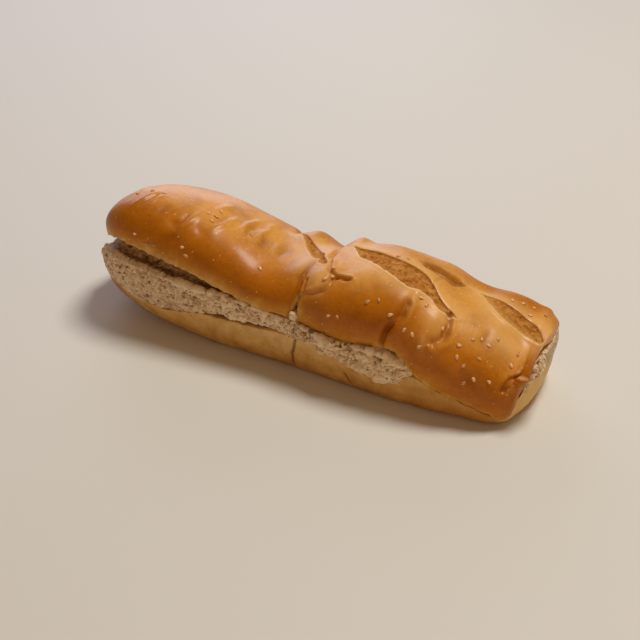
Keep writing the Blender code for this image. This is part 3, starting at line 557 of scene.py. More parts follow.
def makeBottomHalf():
    size = bottomHalf
    t = evenRows(size["stations"], size["rings"], 0.0)
    x, frontY, frontZ, backY, backZ, base, baseFront, baseBack = (
        through(size["stations"], c, t)[:, None] for c in range(8))
    frontZ = np.minimum(frontZ, cutFace(x, frontY) - size["seam"])
    scale = np.clip((backY - frontY) / 40, 0.1, 1)
    turn = np.linspace(0, math.pi / 2, size["sidePoints"])[None]
    drop, pull = np.sin(turn) ** 1.4, (1 - np.cos(turn)) ** 0.8
    swell = size["bulge"] * scale * np.sin(2 * turn)
    front = [frontY + (baseFront - frontY) * pull - swell, frontZ + (base - frontZ) * drop]
    back = [backY + (baseBack - backY) * pull + swell, backZ + (base - backZ) * drop]
    v = (np.arange(1, size["facePoints"] + 1) / (size["facePoints"] + 1))[None]
    faceY = frontY + (backY - frontY) * v
    faceZ = frontZ + (backZ - frontZ) * v - size["dish"] * scale * (1 - np.abs(2 * v - 1) ** 4)
    y = np.concatenate([front[0], back[0][:, ::-1], faceY[:, ::-1]], axis=1)
    z = np.concatenate([front[1], back[1][:, ::-1], faceZ[:, ::-1]], axis=1)
    rings = np.stack([np.repeat(x, y.shape[1], 1), y, z], -1)
    normal = -wrappedNormals(rings)
    count = 2 * size["sidePoints"]
    isFace = np.concatenate([np.zeros(count), np.ones(size["facePoints"])])[None].repeat(len(rings), 0)
    height = 0.35 * noise(rings, 14.0, 31) + 0.12 * noise(rings, 4.0, 32)
    height = height * (1 - isFace) + isFace * 0.35 * noise(rings, 2.4, 33)
    crack = np.zeros(height.shape)
    wander = 0.5 * noise(rings, 2.5, 34)
    # The cracks are also painted dark in the shader: painted shade in the grooves.
    for split in size["cracks"]:
        away = nearestOnPath(rings[..., 0] + wander, rings[..., 2], split["path"])[0]
        cut = np.exp(-(away / split["width"]) ** 2) * (rings[..., 1] < 0) * (1 - isFace)
        height -= split["depth"] * cut
        crack = np.maximum(crack, cut)
    edge = np.minimum(np.abs(np.arange(y.shape[1]) - 0), np.abs(np.arange(y.shape[1]) - count + 1))[None]
    height = height * np.clip(edge / 3, 0, 1)
    rings = rings + normal * height[..., None]
    fromEdge = np.minimum(np.arange(y.shape[1]), y.shape[1] - np.arange(y.shape[1]))[None]
    nick = 0.45 * noise(rings, 5.0, 35) + 0.4 * noise(rings, 1.8, 36) - 0.25
    rings[..., 2] += nick * np.exp(-(fromEdge / 2.2) ** 2)
    rings[..., 2] = np.maximum(rings[..., 2], 0.0)
    looks = {"cutFace": isFace, "crackShade": crack}
    return ringsMesh("plainBottomHalf", rings, looks, -1)


# ---- filling: a coarse chopped spread, porous at the left, shredded where it spills out

filling = {
    # x, front y, back y, height of the front ridge over the bottom half's edge, swell of the face
    "stations": [
        (-120.7, -6.0, 7.0, 2.0, 0.6),
        (-118.0, -12.5, 13.0, 4.5, 1.3),
        (-111.0, -20.5, 20.0, 11.0, 2.0),
        (-102.0, -27.0, 26.0, 16.5, 2.6),
        (-91.0, -30.5, 30.0, 18.0, 2.8),
        (-79.0, -31.0, 31.5, 20.0, 2.8),
        (-66.0, -31.0, 32.5, 18.0, 2.4),
        (-48.0, -30.5, 32.5, 13.5, 2.0),
        (-30.0, -30.0, 32.5, 10.5, 1.4),
        (-10.0, -30.5, 32.5, 9.5, 1.5),
        (8.0, -31.5, 32.5, 9.0, 2.2),
        (24.0, -31.8, 32.5, 9.0, 2.6),
        (38.0, -31.8, 32.5, 14.0, 2.9),
        (50.0, -31.5, 32.5, 13.0, 2.8),
        (60.0, -29.0, 32.0, 6.5, 2.0),
        (68.0, -23.0, 31.5, 6.0, 0.8),
        (82.0, -24.0, 31.0, 7.0, 0.8),
        (95.0, -21.0, 29.5, 9.0, 0.8),
        (103.0, -17.0, 27.0, 10.0, 0.8),
        (107.0, -14.5, 26.0, 12.0, 1.0),
        (109.2, -13.5, 24.5, 13.0, 1.2),
        (111.0, -12.5, 22.0, 18.0, 1.3),
        (112.5, -8.5, 18.0, 18.0, 1.2),
        (113.4, -2.0, 11.0, 15.0, 0.8),
    ],
    "rings": 520, "facePoints": 66, "topPoints": 46, "backPoints": 16, "underPoints": 20,
    "gap": 0.35, "endReach": (4.0, 0.2), "shelfSlope": 0.06,
    "lumpsMm": 0.7, "choppedMm": 0.32, "poresMm": 0.7, "ridgeMm": 1.5, "recessMm": 1.4, "chunksMm": 1.7,
    "tornFrom": -66.0, "tornTo": -40.0,                # smoothly cut to the left of this, torn to the right
    "spillFrom": 4.0, "spillTo": 62.0,
    "frontmost": -38.3, "easeMm": 1.5,                 # how far forward the spill may hang
    "liftFrom": -50.0, "liftTo": 2.0, "lift": 1.4,     # the front edge hangs clear of the bread here
    "mound": (2.8, 1.5, 5.0),                          # x, half width and height of what shows in the tear
}


def roofHeight(x, y):
    reach = np.where(x < 0, *filling["endReach"]) * np.clip((np.abs(x) - 96) / 12, 0, 1)
    middle, half, height = filling["mound"]
    mound = height * np.exp(-((x - middle) / half) ** 4) * ease((-25 - y) / 3)
    return np.minimum.reduce([cutFace(x + reach * d, y) for d in (-1, -0.5, 0, 0.5, 1)]) - filling["gap"] + mound


def floorHeight(x, y, front):
    lift = ease((x - filling["liftFrom"]) / 10) * ease((filling["liftTo"] - x) / 6) * filling["lift"]
    return bottomFace(x, y) + filling["gap"] + lift * ease(1 - (y - front) / 4)


def heldBack(y):                                    # eases what spills too far forward to a stop
    soft = filling["easeMm"]
    over = np.maximum(filling["frontmost"] + soft - y, 0)
    return np.where(over > 0, filling["frontmost"] + soft * np.exp(-over / soft), y)


def makeFilling():
    size = filling
    t = evenRows(size["stations"], size["rings"], 0.0)
    x, front, back, ridge, swell = (through(size["stations"], c, t)[:, None] for c in range(5))
    floorZ = floorHeight(x, front, front)
    topZ = floorZ + ridge + 12 * (np.abs(x - size["mound"][0]) < 2 * size["mound"][1])
    topZ = np.maximum(np.minimum(topZ, roofHeight(x, front)), floorZ + 0.3)
    v = np.linspace(0, 1, size["facePoints"])[None]
    faceY = front - swell * np.sin(math.pi * (0.1 + 0.65 * v)) ** 0.8
    faceZ = floorZ + (topZ - floorZ) * v
    w = np.linspace(0, 1, size["topPoints"] + 1)[None, 1:] ** 1.5 * 0.97
    topY = front + (back - front) * w
    shelf = topZ + size["shelfSlope"] * (topY - front)
    room = 40 * np.clip(w - 0.25, 0, 1) * np.clip((109 - np.abs(x)) / 9, 0, 1)
    roofZ = np.maximum(np.minimum(roofHeight(x, topY), shelf + room), floorHeight(x, topY, front) + 0.2)
    u = np.linspace(0, 1, size["backPoints"])[None]
    backY = back + np.sin(math.pi * u) * np.clip((back - front) / 40, 0.1, 1)
    high, low = np.minimum(roofHeight(x, back), roofZ[:, -1:]), bottomFace(x, back) + size["gap"]
    backZ = high + (low - high) * u
    s = np.linspace(1, 0, size["underPoints"] + 2)[None, 1:-1]
    underY = front + (back - front) * s
    underZ = floorHeight(x, underY, front)
    y = np.concatenate([faceY, topY, backY, underY], axis=1)
    z = np.concatenate([faceZ, roofZ, backZ, underZ], axis=1)
    rings = np.stack([np.repeat(x, y.shape[1], 1), y, z], -1)

    normal = wrappedNormals(rings)
    spill = ease((rings[..., 0] - size["spillFrom"]) / 8) * ease((size["spillTo"] - rings[..., 0]) / 6)
    lumps = noise(rings, 6.5, 41) + 0.7 * noise(rings, 3.2, 42)
    chopped = noise(rings * np.array([0.6, 1, 1]), 1.7, 43) + 0.8 * noise(rings, 1.0, 44)
    uneven = noise(rings, 4.0, 48)
    holes = cells(rings * np.array([0.6, 1, 1.1]) + 0.5 * noise(rings, 1.3, 49)[..., None], 1.9, 45)
    bent = rings * np.array([0.75, 1, 1.15]) + 0.9 * noise(rings, 3.0, 51)[..., None]
    chunk = 0.75 - cells(bent, 4.2, 52) ** 1.5 + 0.45 * (0.75 - cells(bent, 1.9, 53) ** 1.3)
    crevice = noise(rings * np.array([0.5, 1, 1.3]), 1.5, 47) + 0.5 * noise(rings, 0.9, 50)
    pits = np.maximum(ease((0.2 + 0.14 * uneven - holes) / 0.12), 0.8 * ease((crevice - 0.62) / 0.3))
    shred = 1 - np.abs(noise(rings * np.array([0.5, 1, 1.2]), 2.4, 46))
    torn = ease((rings[..., 0] - size["tornFrom"]) / (size["tornTo"] - size["tornFrom"]))
    height = size["lumpsMm"] * lumps * (0.5 + 0.7 * torn + 0.6 * spill) + size["choppedMm"] * chopped * (1 + 0.6 * torn)
    height += 0.6 * spill * (shred - 0.7) - size["poresMm"] * pits * (1 - 0.5 * spill)
    height += size["chunksMm"] * chunk * (0.12 + 0.35 * torn + 0.85 * spill)
    behind = rings[..., 1] - front
    onTop = (np.arange(rings.shape[1]) >= size["facePoints"])[None] & (rings[..., 2] > floorZ + 3)
    ridgeLine = np.hypot(behind, np.maximum(topZ - rings[..., 2], 0))
    left = ease((-20 - rings[..., 0]) / 20)
    height += left * size["ridgeMm"] * (0.8 + 0.8 * uneven) * np.exp(-(ridgeLine / 1.6) ** 2)
    height -= left * size["recessMm"] * np.exp(-((behind - 5.0) / 3.0) ** 2) * onTop
    shown = np.concatenate([np.ones(size["facePoints"]), np.linspace(1, 0, size["topPoints"]) ** 0.5,
                            np.full(size["backPoints"], 0.6), np.zeros(size["underPoints"])])[None]
    height = height * shown * np.clip((rings[..., 2].max(1, keepdims=True) - rings[..., 2].min(1, keepdims=True)) / 6, 0.2, 1)
    under = np.minimum(roofHeight(rings[..., 0], rings[..., 1]), 99)
    rings = rings + normal * height[..., None]
    rings[..., 1] = heldBack(rings[..., 1])
    keepUnder = (np.arange(rings.shape[1]) >= size["facePoints"])[None]
    rings[..., 2] = np.where(keepUnder, np.minimum(rings[..., 2], under), rings[..., 2])
    # The pores and crevices are also painted dark in the shader: painted shade in the holes.
    looks = {"poreShade": pits, "spilled": spill, "heightMm": height}
    surface = {"points": rings, "normals": wrappedNormals(rings)}
    return ringsMesh("choppedFilling", rings, looks), surface


# ---- shreds: flat, bent flakes standing off the filling where it was pulled and spilled

shreds = {
    # from and to x, share of the section from its foot to past the ridge, how many, length in mm
    "areas": [
        {"x": (6.0, 60.0), "share": (0.06, 0.5), "count": 60, "lengthMm": (2.0, 4.0)},
        {"x": (22.0, 60.0), "share": (0.1, 0.5), "count": 60, "lengthMm": (3.0, 5.5)},
        {"x": (-56.0, 8.0), "share": (0.15, 0.55), "count": 60, "lengthMm": (1.8, 4.5)},
        {"x": (-118.0, -60.0), "share": (0.38, 0.6), "count": 90, "lengthMm": (1.0, 2.6)},
        {"x": (108.8, 112.8), "share": (0.05, 0.75), "count": 70, "lengthMm": (1.5, 4.0)},
        {"x": (17.5, 20.5), "share": (0.0, 0.03), "count": 8, "lengthMm": (3.5, 5.5)},
        {"x": (23.0, 26.0), "share": (0.4, 0.48), "count": 6, "lengthMm": (3.5, 5.0)},
    ],
    "wide": 0.42, "thick": 0.24, "bend": 0.5, "lumpMm": 0.4, "tiltDeg": 28.0,
    "rows": 9, "around": 8,
}


def makeShreds(surface):
    rng = np.random.default_rng(whole["seed"] + 1)
    rows, around = shreds["rows"], shreds["around"]
    f = np.linspace(0, 1, rows + 1)[:, None]
    a = np.linspace(0, 2 * math.pi, around, endpoint=False)[None]
    girth = np.sin(math.pi * np.clip(f, 0.04, 0.96)) ** 0.6
    points, quads, offset = [], [], 0
    i = np.arange(rows)[:, None] * around
    j = np.arange(around)[None]
    k = (j + 1) % around
    oneFlake = np.stack([i + j, i + k, i + around + k, i + around + j], -1).reshape(-1, 4)
    sectionX = surface["points"][:, 0, 0]
    shownPoints = filling["facePoints"] + filling["topPoints"]
    for area in shreds["areas"]:
        for _ in range(area["count"]):
            row = int(np.argmin(np.abs(sectionX - rng.uniform(*area["x"]))))
            column = int(rng.uniform(*area["share"]) * shownPoints)
            length = rng.uniform(*area["lengthMm"])
            wide = length * shreds["wide"] * rng.uniform(0.6, 1.3)
            thick = length * shreds["thick"] * rng.uniform(0.7, 1.4)
            shape = np.stack([(f - 0.5) * length + 0 * a, np.cos(a) * wide / 2 * girth,
                              np.sin(a) * thick / 2 * girth], -1)
            bend = rng.normal(0, shreds["bend"])
            shape[..., 2] += bend * length * (f - 0.5) ** 2
            spot = rng.uniform(-500, 500, 3)
            shape += np.stack([noise(shape + spot + 90 * c, 1.3, 60) for c in range(3)], -1) * shreds["lumpMm"]
            up = Vector(surface["normals"][row, column])
            turned = up.to_track_quat("Z", "X").to_matrix() @ Matrix.Rotation(rng.uniform(0, 6.28), 3, "Z")
            turned = turned @ Matrix.Rotation(math.radians(rng.normal(0, shreds["tiltDeg"])), 3, "Y")
            here = surface["points"][row, column] + np.array(up) * thick * 0.15
            points.append(shape.reshape(-1, 3) @ np.array(turned).T + here)
            caps = [[offset + c for c in range(around)][::-1], [offset + rows * around + c for c in range(around)]]
            quads += (oneFlake + offset).tolist() + caps
            offset += (rows + 1) * around
    points = np.concatenate(points)
    points[:, 1] = heldBack(points[:, 1])
    points[:, 2] = np.maximum(points[:, 2], 0.2)
    mesh = bpy.data.meshes.new("shreddedFlakes")
    mesh.from_pydata(((points + shift) * mm).tolist(), [], quads)
    mesh.polygons.foreach_set("use_smooth", [True] * len(mesh.polygons))
    # The flakes get no pore darkening and a raised height, so they are painted as lit tops.
    for look, value in (("poreShade", 0.0), ("heightMm", 0.7)):
        mesh.attributes.new(look, "FLOAT", "POINT").data.foreach_set("value", np.full(len(points), value))
    piece = bpy.data.objects.new("shreddedFlakes", mesh)
    bpy.context.scene.collection.objects.link(piece)
    print(f"shreddedFlakes: {len(mesh.polygons)} faces")
    return piece


# ---- sesame seeds, scattered in patches over the glazed crust

sesame = {
    "lengthMm": 2.7, "widthMm": 1.65, "thickMm": 0.9, "sunk": 0.3,
    # centre (x, round the crust), spread, how many
    "patches": [
        {"centre": (-82.0, -17.0), "spread": (11.0, 3.5), "count": 3},
        {"centre": (-52.0, -16.0), "spread": (3.6, 4.0), "count": 4},
        {"centre": (-84.0, -45.0), "spread": (1.0, 1.0), "count": 1},
        {"centre": (-56.0, -41.0), "spread": (3.0, 2.5), "count": 2},
        {"centre": (-33.0, -12.0), "spread": (1.0, 1.0), "count": 1},
        {"centre": (-21.0, -26.0), "spread": (1.0, 1.0), "count": 1},
        {"centre": (14.0, -25.0), "spread": (1.0, 1.0), "count": 1},
        {"centre": (15.8, -19.5), "spread": (0.6, 2.4), "count": 2},
        {"centre": (23.0, -39.0), "spread": (6.0, 1.0), "count": 2},
        {"centre": (39.0, -31.0), "spread": (3.0, 2.0), "count": 2},
        {"centre": (50.0, -34.0), "spread": (1.0, 1.0), "count": 1},
        {"centre": (61.0, -18.0), "spread": (3.0, 1.0), "count": 2},
        {"centre": (71.5, -21.0), "spread": (1.0, 1.5), "count": 2},
        {"centre": (65.0, -35.0), "spread": (7.0, 3.5), "count": 3},
        {"centre": (81.0, -26.0), "spread": (4.0, 3.5), "count": 3},
        {"centre": (87.0, -17.0), "spread": (5.0, 3.5), "count": 4},
        {"centre": (89.0, -32.0), "spread": (6.0, 5.0), "count": 4},
        {"centre": (103.0, -12.0), "spread": (2.5, 7.0), "count": 3},
        {"centre": (39.0, 4.0), "spread": (4.0, 1.0), "count": 2},
        {"centre": (96.0, 14.0), "spread": (10.0, 4.0), "count": 5},
        {"centre": (45.0, 38.0), "spread": (50.0, 9.0), "count": 13},
        {"centre": (-60.0, 34.0), "spread": (40.0, 9.0), "count": 9},
    ],
}


def seedShape(rng):                                 # a flat drop, pointed at one end
    rows, around = 7, 10
    length, width, thick = sesame["lengthMm"], sesame["widthMm"], sesame["thickMm"]
    scale = rng.uniform(0.85, 1.1)
    points = [(-length / 2 * scale, 0, 0)]
    for i in range(1, rows):
        f = i / rows
        girth = math.sin(math.pi * f ** 0.72) ** 0.8
        for k in range(around):
            a = 2 * math.pi * k / around
            points.append(((f - 0.5) * length * scale, math.cos(a) * width / 2 * girth * scale,
                           math.sin(a) * thick / 2 * girth * scale))
    points.append((length / 2 * scale, 0, 0))
    faces = [(0, 1 + (k + 1) % around, 1 + k) for k in range(around)]
    for i in range(rows - 2):
        a, b = 1 + i * around, 1 + (i + 1) * around
        faces += [(a + k, a + (k + 1) % around, b + (k + 1) % around, b + k) for k in range(around)]
    last = 1 + (rows - 2) * around
    faces += [(last + k, last + (k + 1) % around, len(points) - 1) for k in range(around)]
    return np.array(points), faces


def makeSeeds(surface):
    rng = np.random.default_rng(whole["seed"])
    points, faces, placed = [], [], []
    offset = 0
    for patch in sesame["patches"]:
        made = tries = 0
        while made < patch["count"] and tries < 400:
            tries += 1
            x = rng.normal(patch["centre"][0], patch["spread"][0] * 0.6)
            s = rng.normal(patch["centre"][1], patch["spread"][1] * 0.6)
            i = int(np.argmin(np.abs(surface["x"] - x)))
            j = int(np.argmin(np.abs(surface["around"][i] - s)))
            here = surface["points"][i, j]
            inBread = surface["crumb"][i, j] < 1.5 or abs(surface["around"][i, j] - s) > 1 or not -112 < x < 108
            if inBread or any(np.linalg.norm(here - other) < 4.0 for other in placed):
                continue
            up = Vector(surface["normals"][i, j])
            turned = up.to_track_quat("Z", "X").to_matrix() @ Matrix.Rotation(rng.uniform(0, 6.28), 3, "Z")
            turned = turned @ Matrix.Rotation(rng.normal(0, 0.18), 3, "X")
            shape, shapeFaces = seedShape(rng)
            lift = sesame["thickMm"] * (0.5 - sesame["sunk"])
            points.append(shape @ np.array(turned).T + here + np.array(up) * lift)
            faces += [tuple(v + offset for v in face) for face in shapeFaces]
            offset += len(shape)
            placed.append(here)
            made += 1
    mesh = bpy.data.meshes.new("sesameSeeds")
    mesh.from_pydata(((np.concatenate(points) + shift) * mm).tolist(), [], faces)
    mesh.polygons.foreach_set("use_smooth", [True] * len(mesh.polygons))
    piece = bpy.data.objects.new("sesameSeeds", mesh)
    bpy.context.scene.collection.objects.link(piece)
    print(f"sesameSeeds: {len(placed)} seeds")
    return piece


# ---- materials

glazedCrust = {
    # colour against the distance up from the cut edge, in mm: the crust's own bake tone with painted light over it, the
    # lit top painted lighter golden and the shaded lower sides painted darker
    "bakeAndLight": [(0.0, "#D8A85C"), (2.5, "#C98A20"), (6.0, "#BF7404"), (12.0, "#B46600"), (22.0, "#C2740A"),
             (36.0, "#DE9C42")],
    "paleSkinAndSheen": "#EFBC74",
    # The fold colour is painted shade for the creases, dents and pressed fold.
    "scorch": "#904C0A", "fold": "#7A3208", "speck": "#F0C887",
    # The front line colour is the cut edge's own pale tone with a painted highlight along it.
    "bakedFloor": "#CA8638", "bakedDeep": "#9C5A18", "paleFloor": "#DCA254", "frontLine": "#F6D7A4",
    # The back line colour is a painted shadow under the overhanging back rim.
    "backRimShadow": "#8A4412", "cut": "#DDBE86",
    "mottleMm": 9.0, "grainMm": 0.8, "leatherMm": 2.6, "speckMm": 2.2, "floorMm": 1.6, "freckleMm": 1.8,
}


def makeGlazedCrust():
    # Enriched dough, egg-washed and baked: a satin skin, deep orange-brown down the sides and golden over the top,
    # partly its own bake and partly painted light: the lit top painted lighter, the shaded sides painted darker;
    # yellow where it met the cut, with pin-head pale blisters. Where the slashes opened, bread baked without the wash:
    # matt, olive brown and porous, pale where it tore last.
    look = glazedCrust
    material, tree = newMaterial("glazedBreadCrust")
    place = addNode(tree, "ShaderNodeTexCoord").outputs["Object"]
    lip, crumb, fold, frontSide, pale, thin = (
        addNode(tree, "ShaderNodeAttribute", {"attribute_name": name}).outputs["Fac"]
        for name in ("lipMm", "crumbMm", "creaseShade", "frontSide", "paleBread", "paleSkinAndSheen"))
    mottle = addNode(tree, "ShaderNodeTexNoise", inputs={
        "Vector": place, "Scale": 1 / (look["mottleMm"] * mm), "Detail": 5.0, "Roughness": 0.6}).outputs["Fac"]
    wander = addNode(tree, "ShaderNodeMath", {"operation": "MULTIPLY_ADD"}, {0: mottle, 1: 14.0, 2: lip})
    up = addNode(tree, "ShaderNodeMapRange", inputs={
        "Value": wander.outputs[0], "From Min": 7.0, "From Max": 47.0}).outputs["Result"]
    # The ramp's golden top and darker sides are partly painted light: lighter where the lamp falls on the top, darker
    # in the shade down the sides.
    order = [0, -1] + list(range(1, len(look["bakeAndLight"]) - 1))
    baked = addNode(tree, "ShaderNodeValToRGB", inputs={"Fac": up}, stops=[
        (look["bakeAndLight"][i][0] / 40, look["bakeAndLight"][i][1]) for i in order]).outputs["Color"]
    patchy = addNode(tree, "ShaderNodeTexNoise", inputs={
        "Vector": place, "Scale": 1 / (15 * mm), "Detail": 4.0}).outputs["Fac"]
    scorch = addNode(tree, "ShaderNodeMapRange", inputs={
        "Value": patchy, "From Min": 0.46, "From Max": 0.7, "To Max": 0.38}).outputs["Result"]
    browned = addNode(tree, "ShaderNodeMix", {"data_type": "RGBA"}, {
        0: scorch, 6: baked, 7: toLinear(look["scorch"])}).outputs[2]
    freckle = addNode(tree, "ShaderNodeTexNoise", inputs={
        "Vector": place, "Scale": 1 / (look["freckleMm"] * mm), "Detail": 4.0, "Roughness": 0.7}).outputs["Fac"]
    shade = addNode(tree, "ShaderNodeMapRange", inputs={
        "Value": freckle, "From Min": 0.3, "From Max": 0.7, "To Min": 0.88, "To Max": 1.1}).outputs["Result"]
    freckled = addNode(tree, "ShaderNodeMix", {"data_type": "RGBA", "blend_type": "MULTIPLY"}, {
        0: 1.0, 6: browned, 7: shade}).outputs[2]
    # Paler skin round the slashes and on some swellings: partly skin pulled thin, partly a painted sheen.
    nearSlash = addNode(tree, "ShaderNodeMapRange", inputs={"Value": thin, "To Max": 0.6}).outputs["Result"]
    paleSkinAndSheen = addNode(tree, "ShaderNodeMix", {"data_type": "RGBA"}, {
        0: nearSlash, 6: freckled, 7: toLinear(look["paleSkinAndSheen"])}).outputs[2]
    # Creases and dents mixed towards the fold colour: painted shade.
    folded = addNode(tree, "ShaderNodeMix", {"data_type": "RGBA"}, {
        0: fold, 6: paleSkinAndSheen, 7: toLinear(look["fold"])}).outputs[2]

    # Blisters: only the cells whose random number is high get a speck, so they come irregular.
    specks = addNode(tree, "ShaderNodeTexVoronoi", inputs={"Vector": place, "Scale": 1 / (look["speckMm"] * mm)})
    luck = addNode(tree, "ShaderNodeSeparateColor", inputs={0: specks.outputs["Color"]})
    size = addNode(tree, "ShaderNodeMapRange", inputs={
        "Value": luck.outputs[0], "From Min": 0.3, "From Max": 1.0, "To Min": 0.0, "To Max": 0.2})
    inSpeck = addNode(tree, "ShaderNodeMath", {"operation": "SUBTRACT"}, {
        0: size.outputs["Result"], 1: specks.outputs["Distance"]})
    speckMask = addNode(tree, "ShaderNodeMapRange", inputs={
        "Value": inSpeck.outputs[0], "From Min": -0.02, "From Max": 0.06, "To Max": 0.7}).outputs["Result"]
    specked = addNode(tree, "ShaderNodeMix", {"data_type": "RGBA"}, {
        0: speckMask, 6: folded, 7: toLinear(look["speck"])}).outputs[2]

    # Floors of the slashes, with a pale line along the front edge, the cut edge's own pale tone with a painted
    # highlight, and a dark one under the back rim, a painted shadow of the overhang.
    floorNoise = addNode(tree, "ShaderNodeTexNoise", inputs={
        "Vector": place, "Scale": 1 / (look["floorMm"] * mm), "Detail": 5.0, "Roughness": 0.6, "Distortion": 0.25,
        }).outputs["Fac"]
    bakedFloor = addNode(tree, "ShaderNodeValToRGB", inputs={"Fac": floorNoise}, stops=[
        (0.36, look["bakedDeep"]), (0.6, look["bakedFloor"])]).outputs["Color"]
    torn = addNode(tree, "ShaderNodeTexNoise", inputs={
        "Vector": place, "Scale": 1 / (5.5 * mm), "Detail": 4.0, "Distortion": 1.0}).outputs["Fac"]
    tornPale = addNode(tree, "ShaderNodeMapRange", inputs={
        "Value": torn, "From Min": 0.5, "From Max": 0.66, "To Max": 0.6}).outputs["Result"]
    paler = addNode(tree, "ShaderNodeMath", {"operation": "MAXIMUM"}, {0: pale, 1: tornPale}).outputs[0]
    bread = addNode(tree, "ShaderNodeMix", {"data_type": "RGBA"}, {
        0: paler, 6: bakedFloor, 7: toLinear(look["paleFloor"])}).outputs[2]
    inFloor = addNode(tree, "ShaderNodeMapRange", inputs={
        "Value": crumb, "From Min": -0.2, "From Max": 0.15, "To Min": 1.0, "To Max": 0.0}).outputs["Result"]
    slashed = addNode(tree, "ShaderNodeMix", {"data_type": "RGBA"}, {0: inFloor, 6: specked, 7: bread}).outputs[2]
    nearEdge = addNode(tree, "ShaderNodeMath", {"operation": "ABSOLUTE"}, {0: crumb})
    edge = addNode(tree, "ShaderNodeMapRange", inputs={
        "Value": nearEdge.outputs[0], "From Min": 0.0, "From Max": 0.6, "To Min": 0.9, "To Max": 0.0})
    # Pale front edge: its own pale tone plus a painted highlight.
    frontLine = addNode(tree, "ShaderNodeMath", {"operation": "MULTIPLY", "use_clamp": True}, {
        0: edge.outputs["Result"], 1: frontSide}).outputs[0]
    # Dark line under the back rim: painted shadow.
    backSide = addNode(tree, "ShaderNodeMath", {"operation": "MULTIPLY", "use_clamp": True}, {0: -0.8, 1: frontSide})
    backRimShadow = addNode(tree, "ShaderNodeMath", {"operation": "MULTIPLY", "use_clamp": True}, {
        0: edge.outputs["Result"], 1: backSide.outputs[0]}).outputs[0]
    rimmed = addNode(tree, "ShaderNodeMix", {"data_type": "RGBA"}, {
        0: backRimShadow, 6: slashed, 7: toLinear(look["backRimShadow"])}).outputs[2]
    lined = addNode(tree, "ShaderNodeMix", {"data_type": "RGBA"}, {
        0: frontLine, 6: rimmed, 7: toLinear(look["frontLine"])}).outputs[2]
    inCut = addNode(tree, "ShaderNodeMapRange", inputs={
        "Value": crumb, "From Min": -25.0, "From Max": -20.0, "To Min": 1.0, "To Max": 0.0}).outputs["Result"]
    colour = addNode(tree, "ShaderNodeMix", {"data_type": "RGBA"}, {
        0: inCut, 6: lined, 7: toLinear(look["cut"])}).outputs[2]

    satin = addNode(tree, "ShaderNodeMapRange", inputs={
        "Value": mottle, "From Min": 0.3, "From Max": 0.7, "To Min": 0.4, "To Max": 0.54}).outputs["Result"]
    rough = addNode(tree, "ShaderNodeMix", {"data_type": "FLOAT"}, {0: inFloor, 2: satin, 3: 0.8}).outputs[0]
    wash = addNode(tree, "ShaderNodeMapRange", inputs={
        "Value": inFloor, "To Min": 0.36, "To Max": 0.0}).outputs["Result"]
    grain = addNode(tree, "ShaderNodeTexNoise", inputs={
        "Vector": place, "Scale": 1 / (look["grainMm"] * mm), "Detail": 3.0, "Roughness": 0.6}).outputs["Fac"]
    leather = addNode(tree, "ShaderNodeTexNoise", inputs={
        "Vector": place, "Scale": 1 / (look["leatherMm"] * mm), "Detail": 3.0, "Distortion": 1.2}).outputs["Fac"]
    leatherBump = addNode(tree, "ShaderNodeBump", inputs={
        "Height": leather, "Strength": 0.22, "Distance": 0.5 * mm}).outputs["Normal"]
    grainBump = addNode(tree, "ShaderNodeBump", inputs={
        "Height": grain, "Strength": 0.14, "Distance": 0.25 * mm, "Normal": leatherBump}).outputs["Normal"]
    speckBump = addNode(tree, "ShaderNodeBump", inputs={
        "Height": speckMask, "Strength": 0.3, "Distance": 0.3 * mm, "Normal": grainBump}).outputs["Normal"]
    floorBump = addNode(tree, "ShaderNodeBump", inputs={
        "Height": floorNoise, "Strength": inFloor, "Distance": 1.0 * mm, "Normal": speckBump}).outputs["Normal"]
    shader = addNode(tree, "ShaderNodeBsdfPrincipled", inputs={
        "Base Color": colour, "Roughness": rough, "Normal": floorBump, "IOR": 1.42, "Specular IOR Level": 0.17,
        "Coat Weight": wash, "Coat Roughness": 0.25, "Coat IOR": 1.4})
    addNode(tree, "ShaderNodeOutputMaterial", inputs={"Surface": shader.outputs[0]})
    return material


plainCrust = {
    "pale": "#E4BF80", "tan": "#CFA054", "brown": "#A0641F", "crumb": "#D8B27A", "crack": "#74421A",
    "endBrown": "#A85C1A", "endFromMm": -84.0, "endToMm": -116.0, "pitMm": 2.4,
    "lowGold": "#B26E14", "lowFromMm": 45.0, "lowToMm": 85.0, "torn": "#F2C878", "tornFromMm": 100.0,
    "tornToMm": 106.0,
}


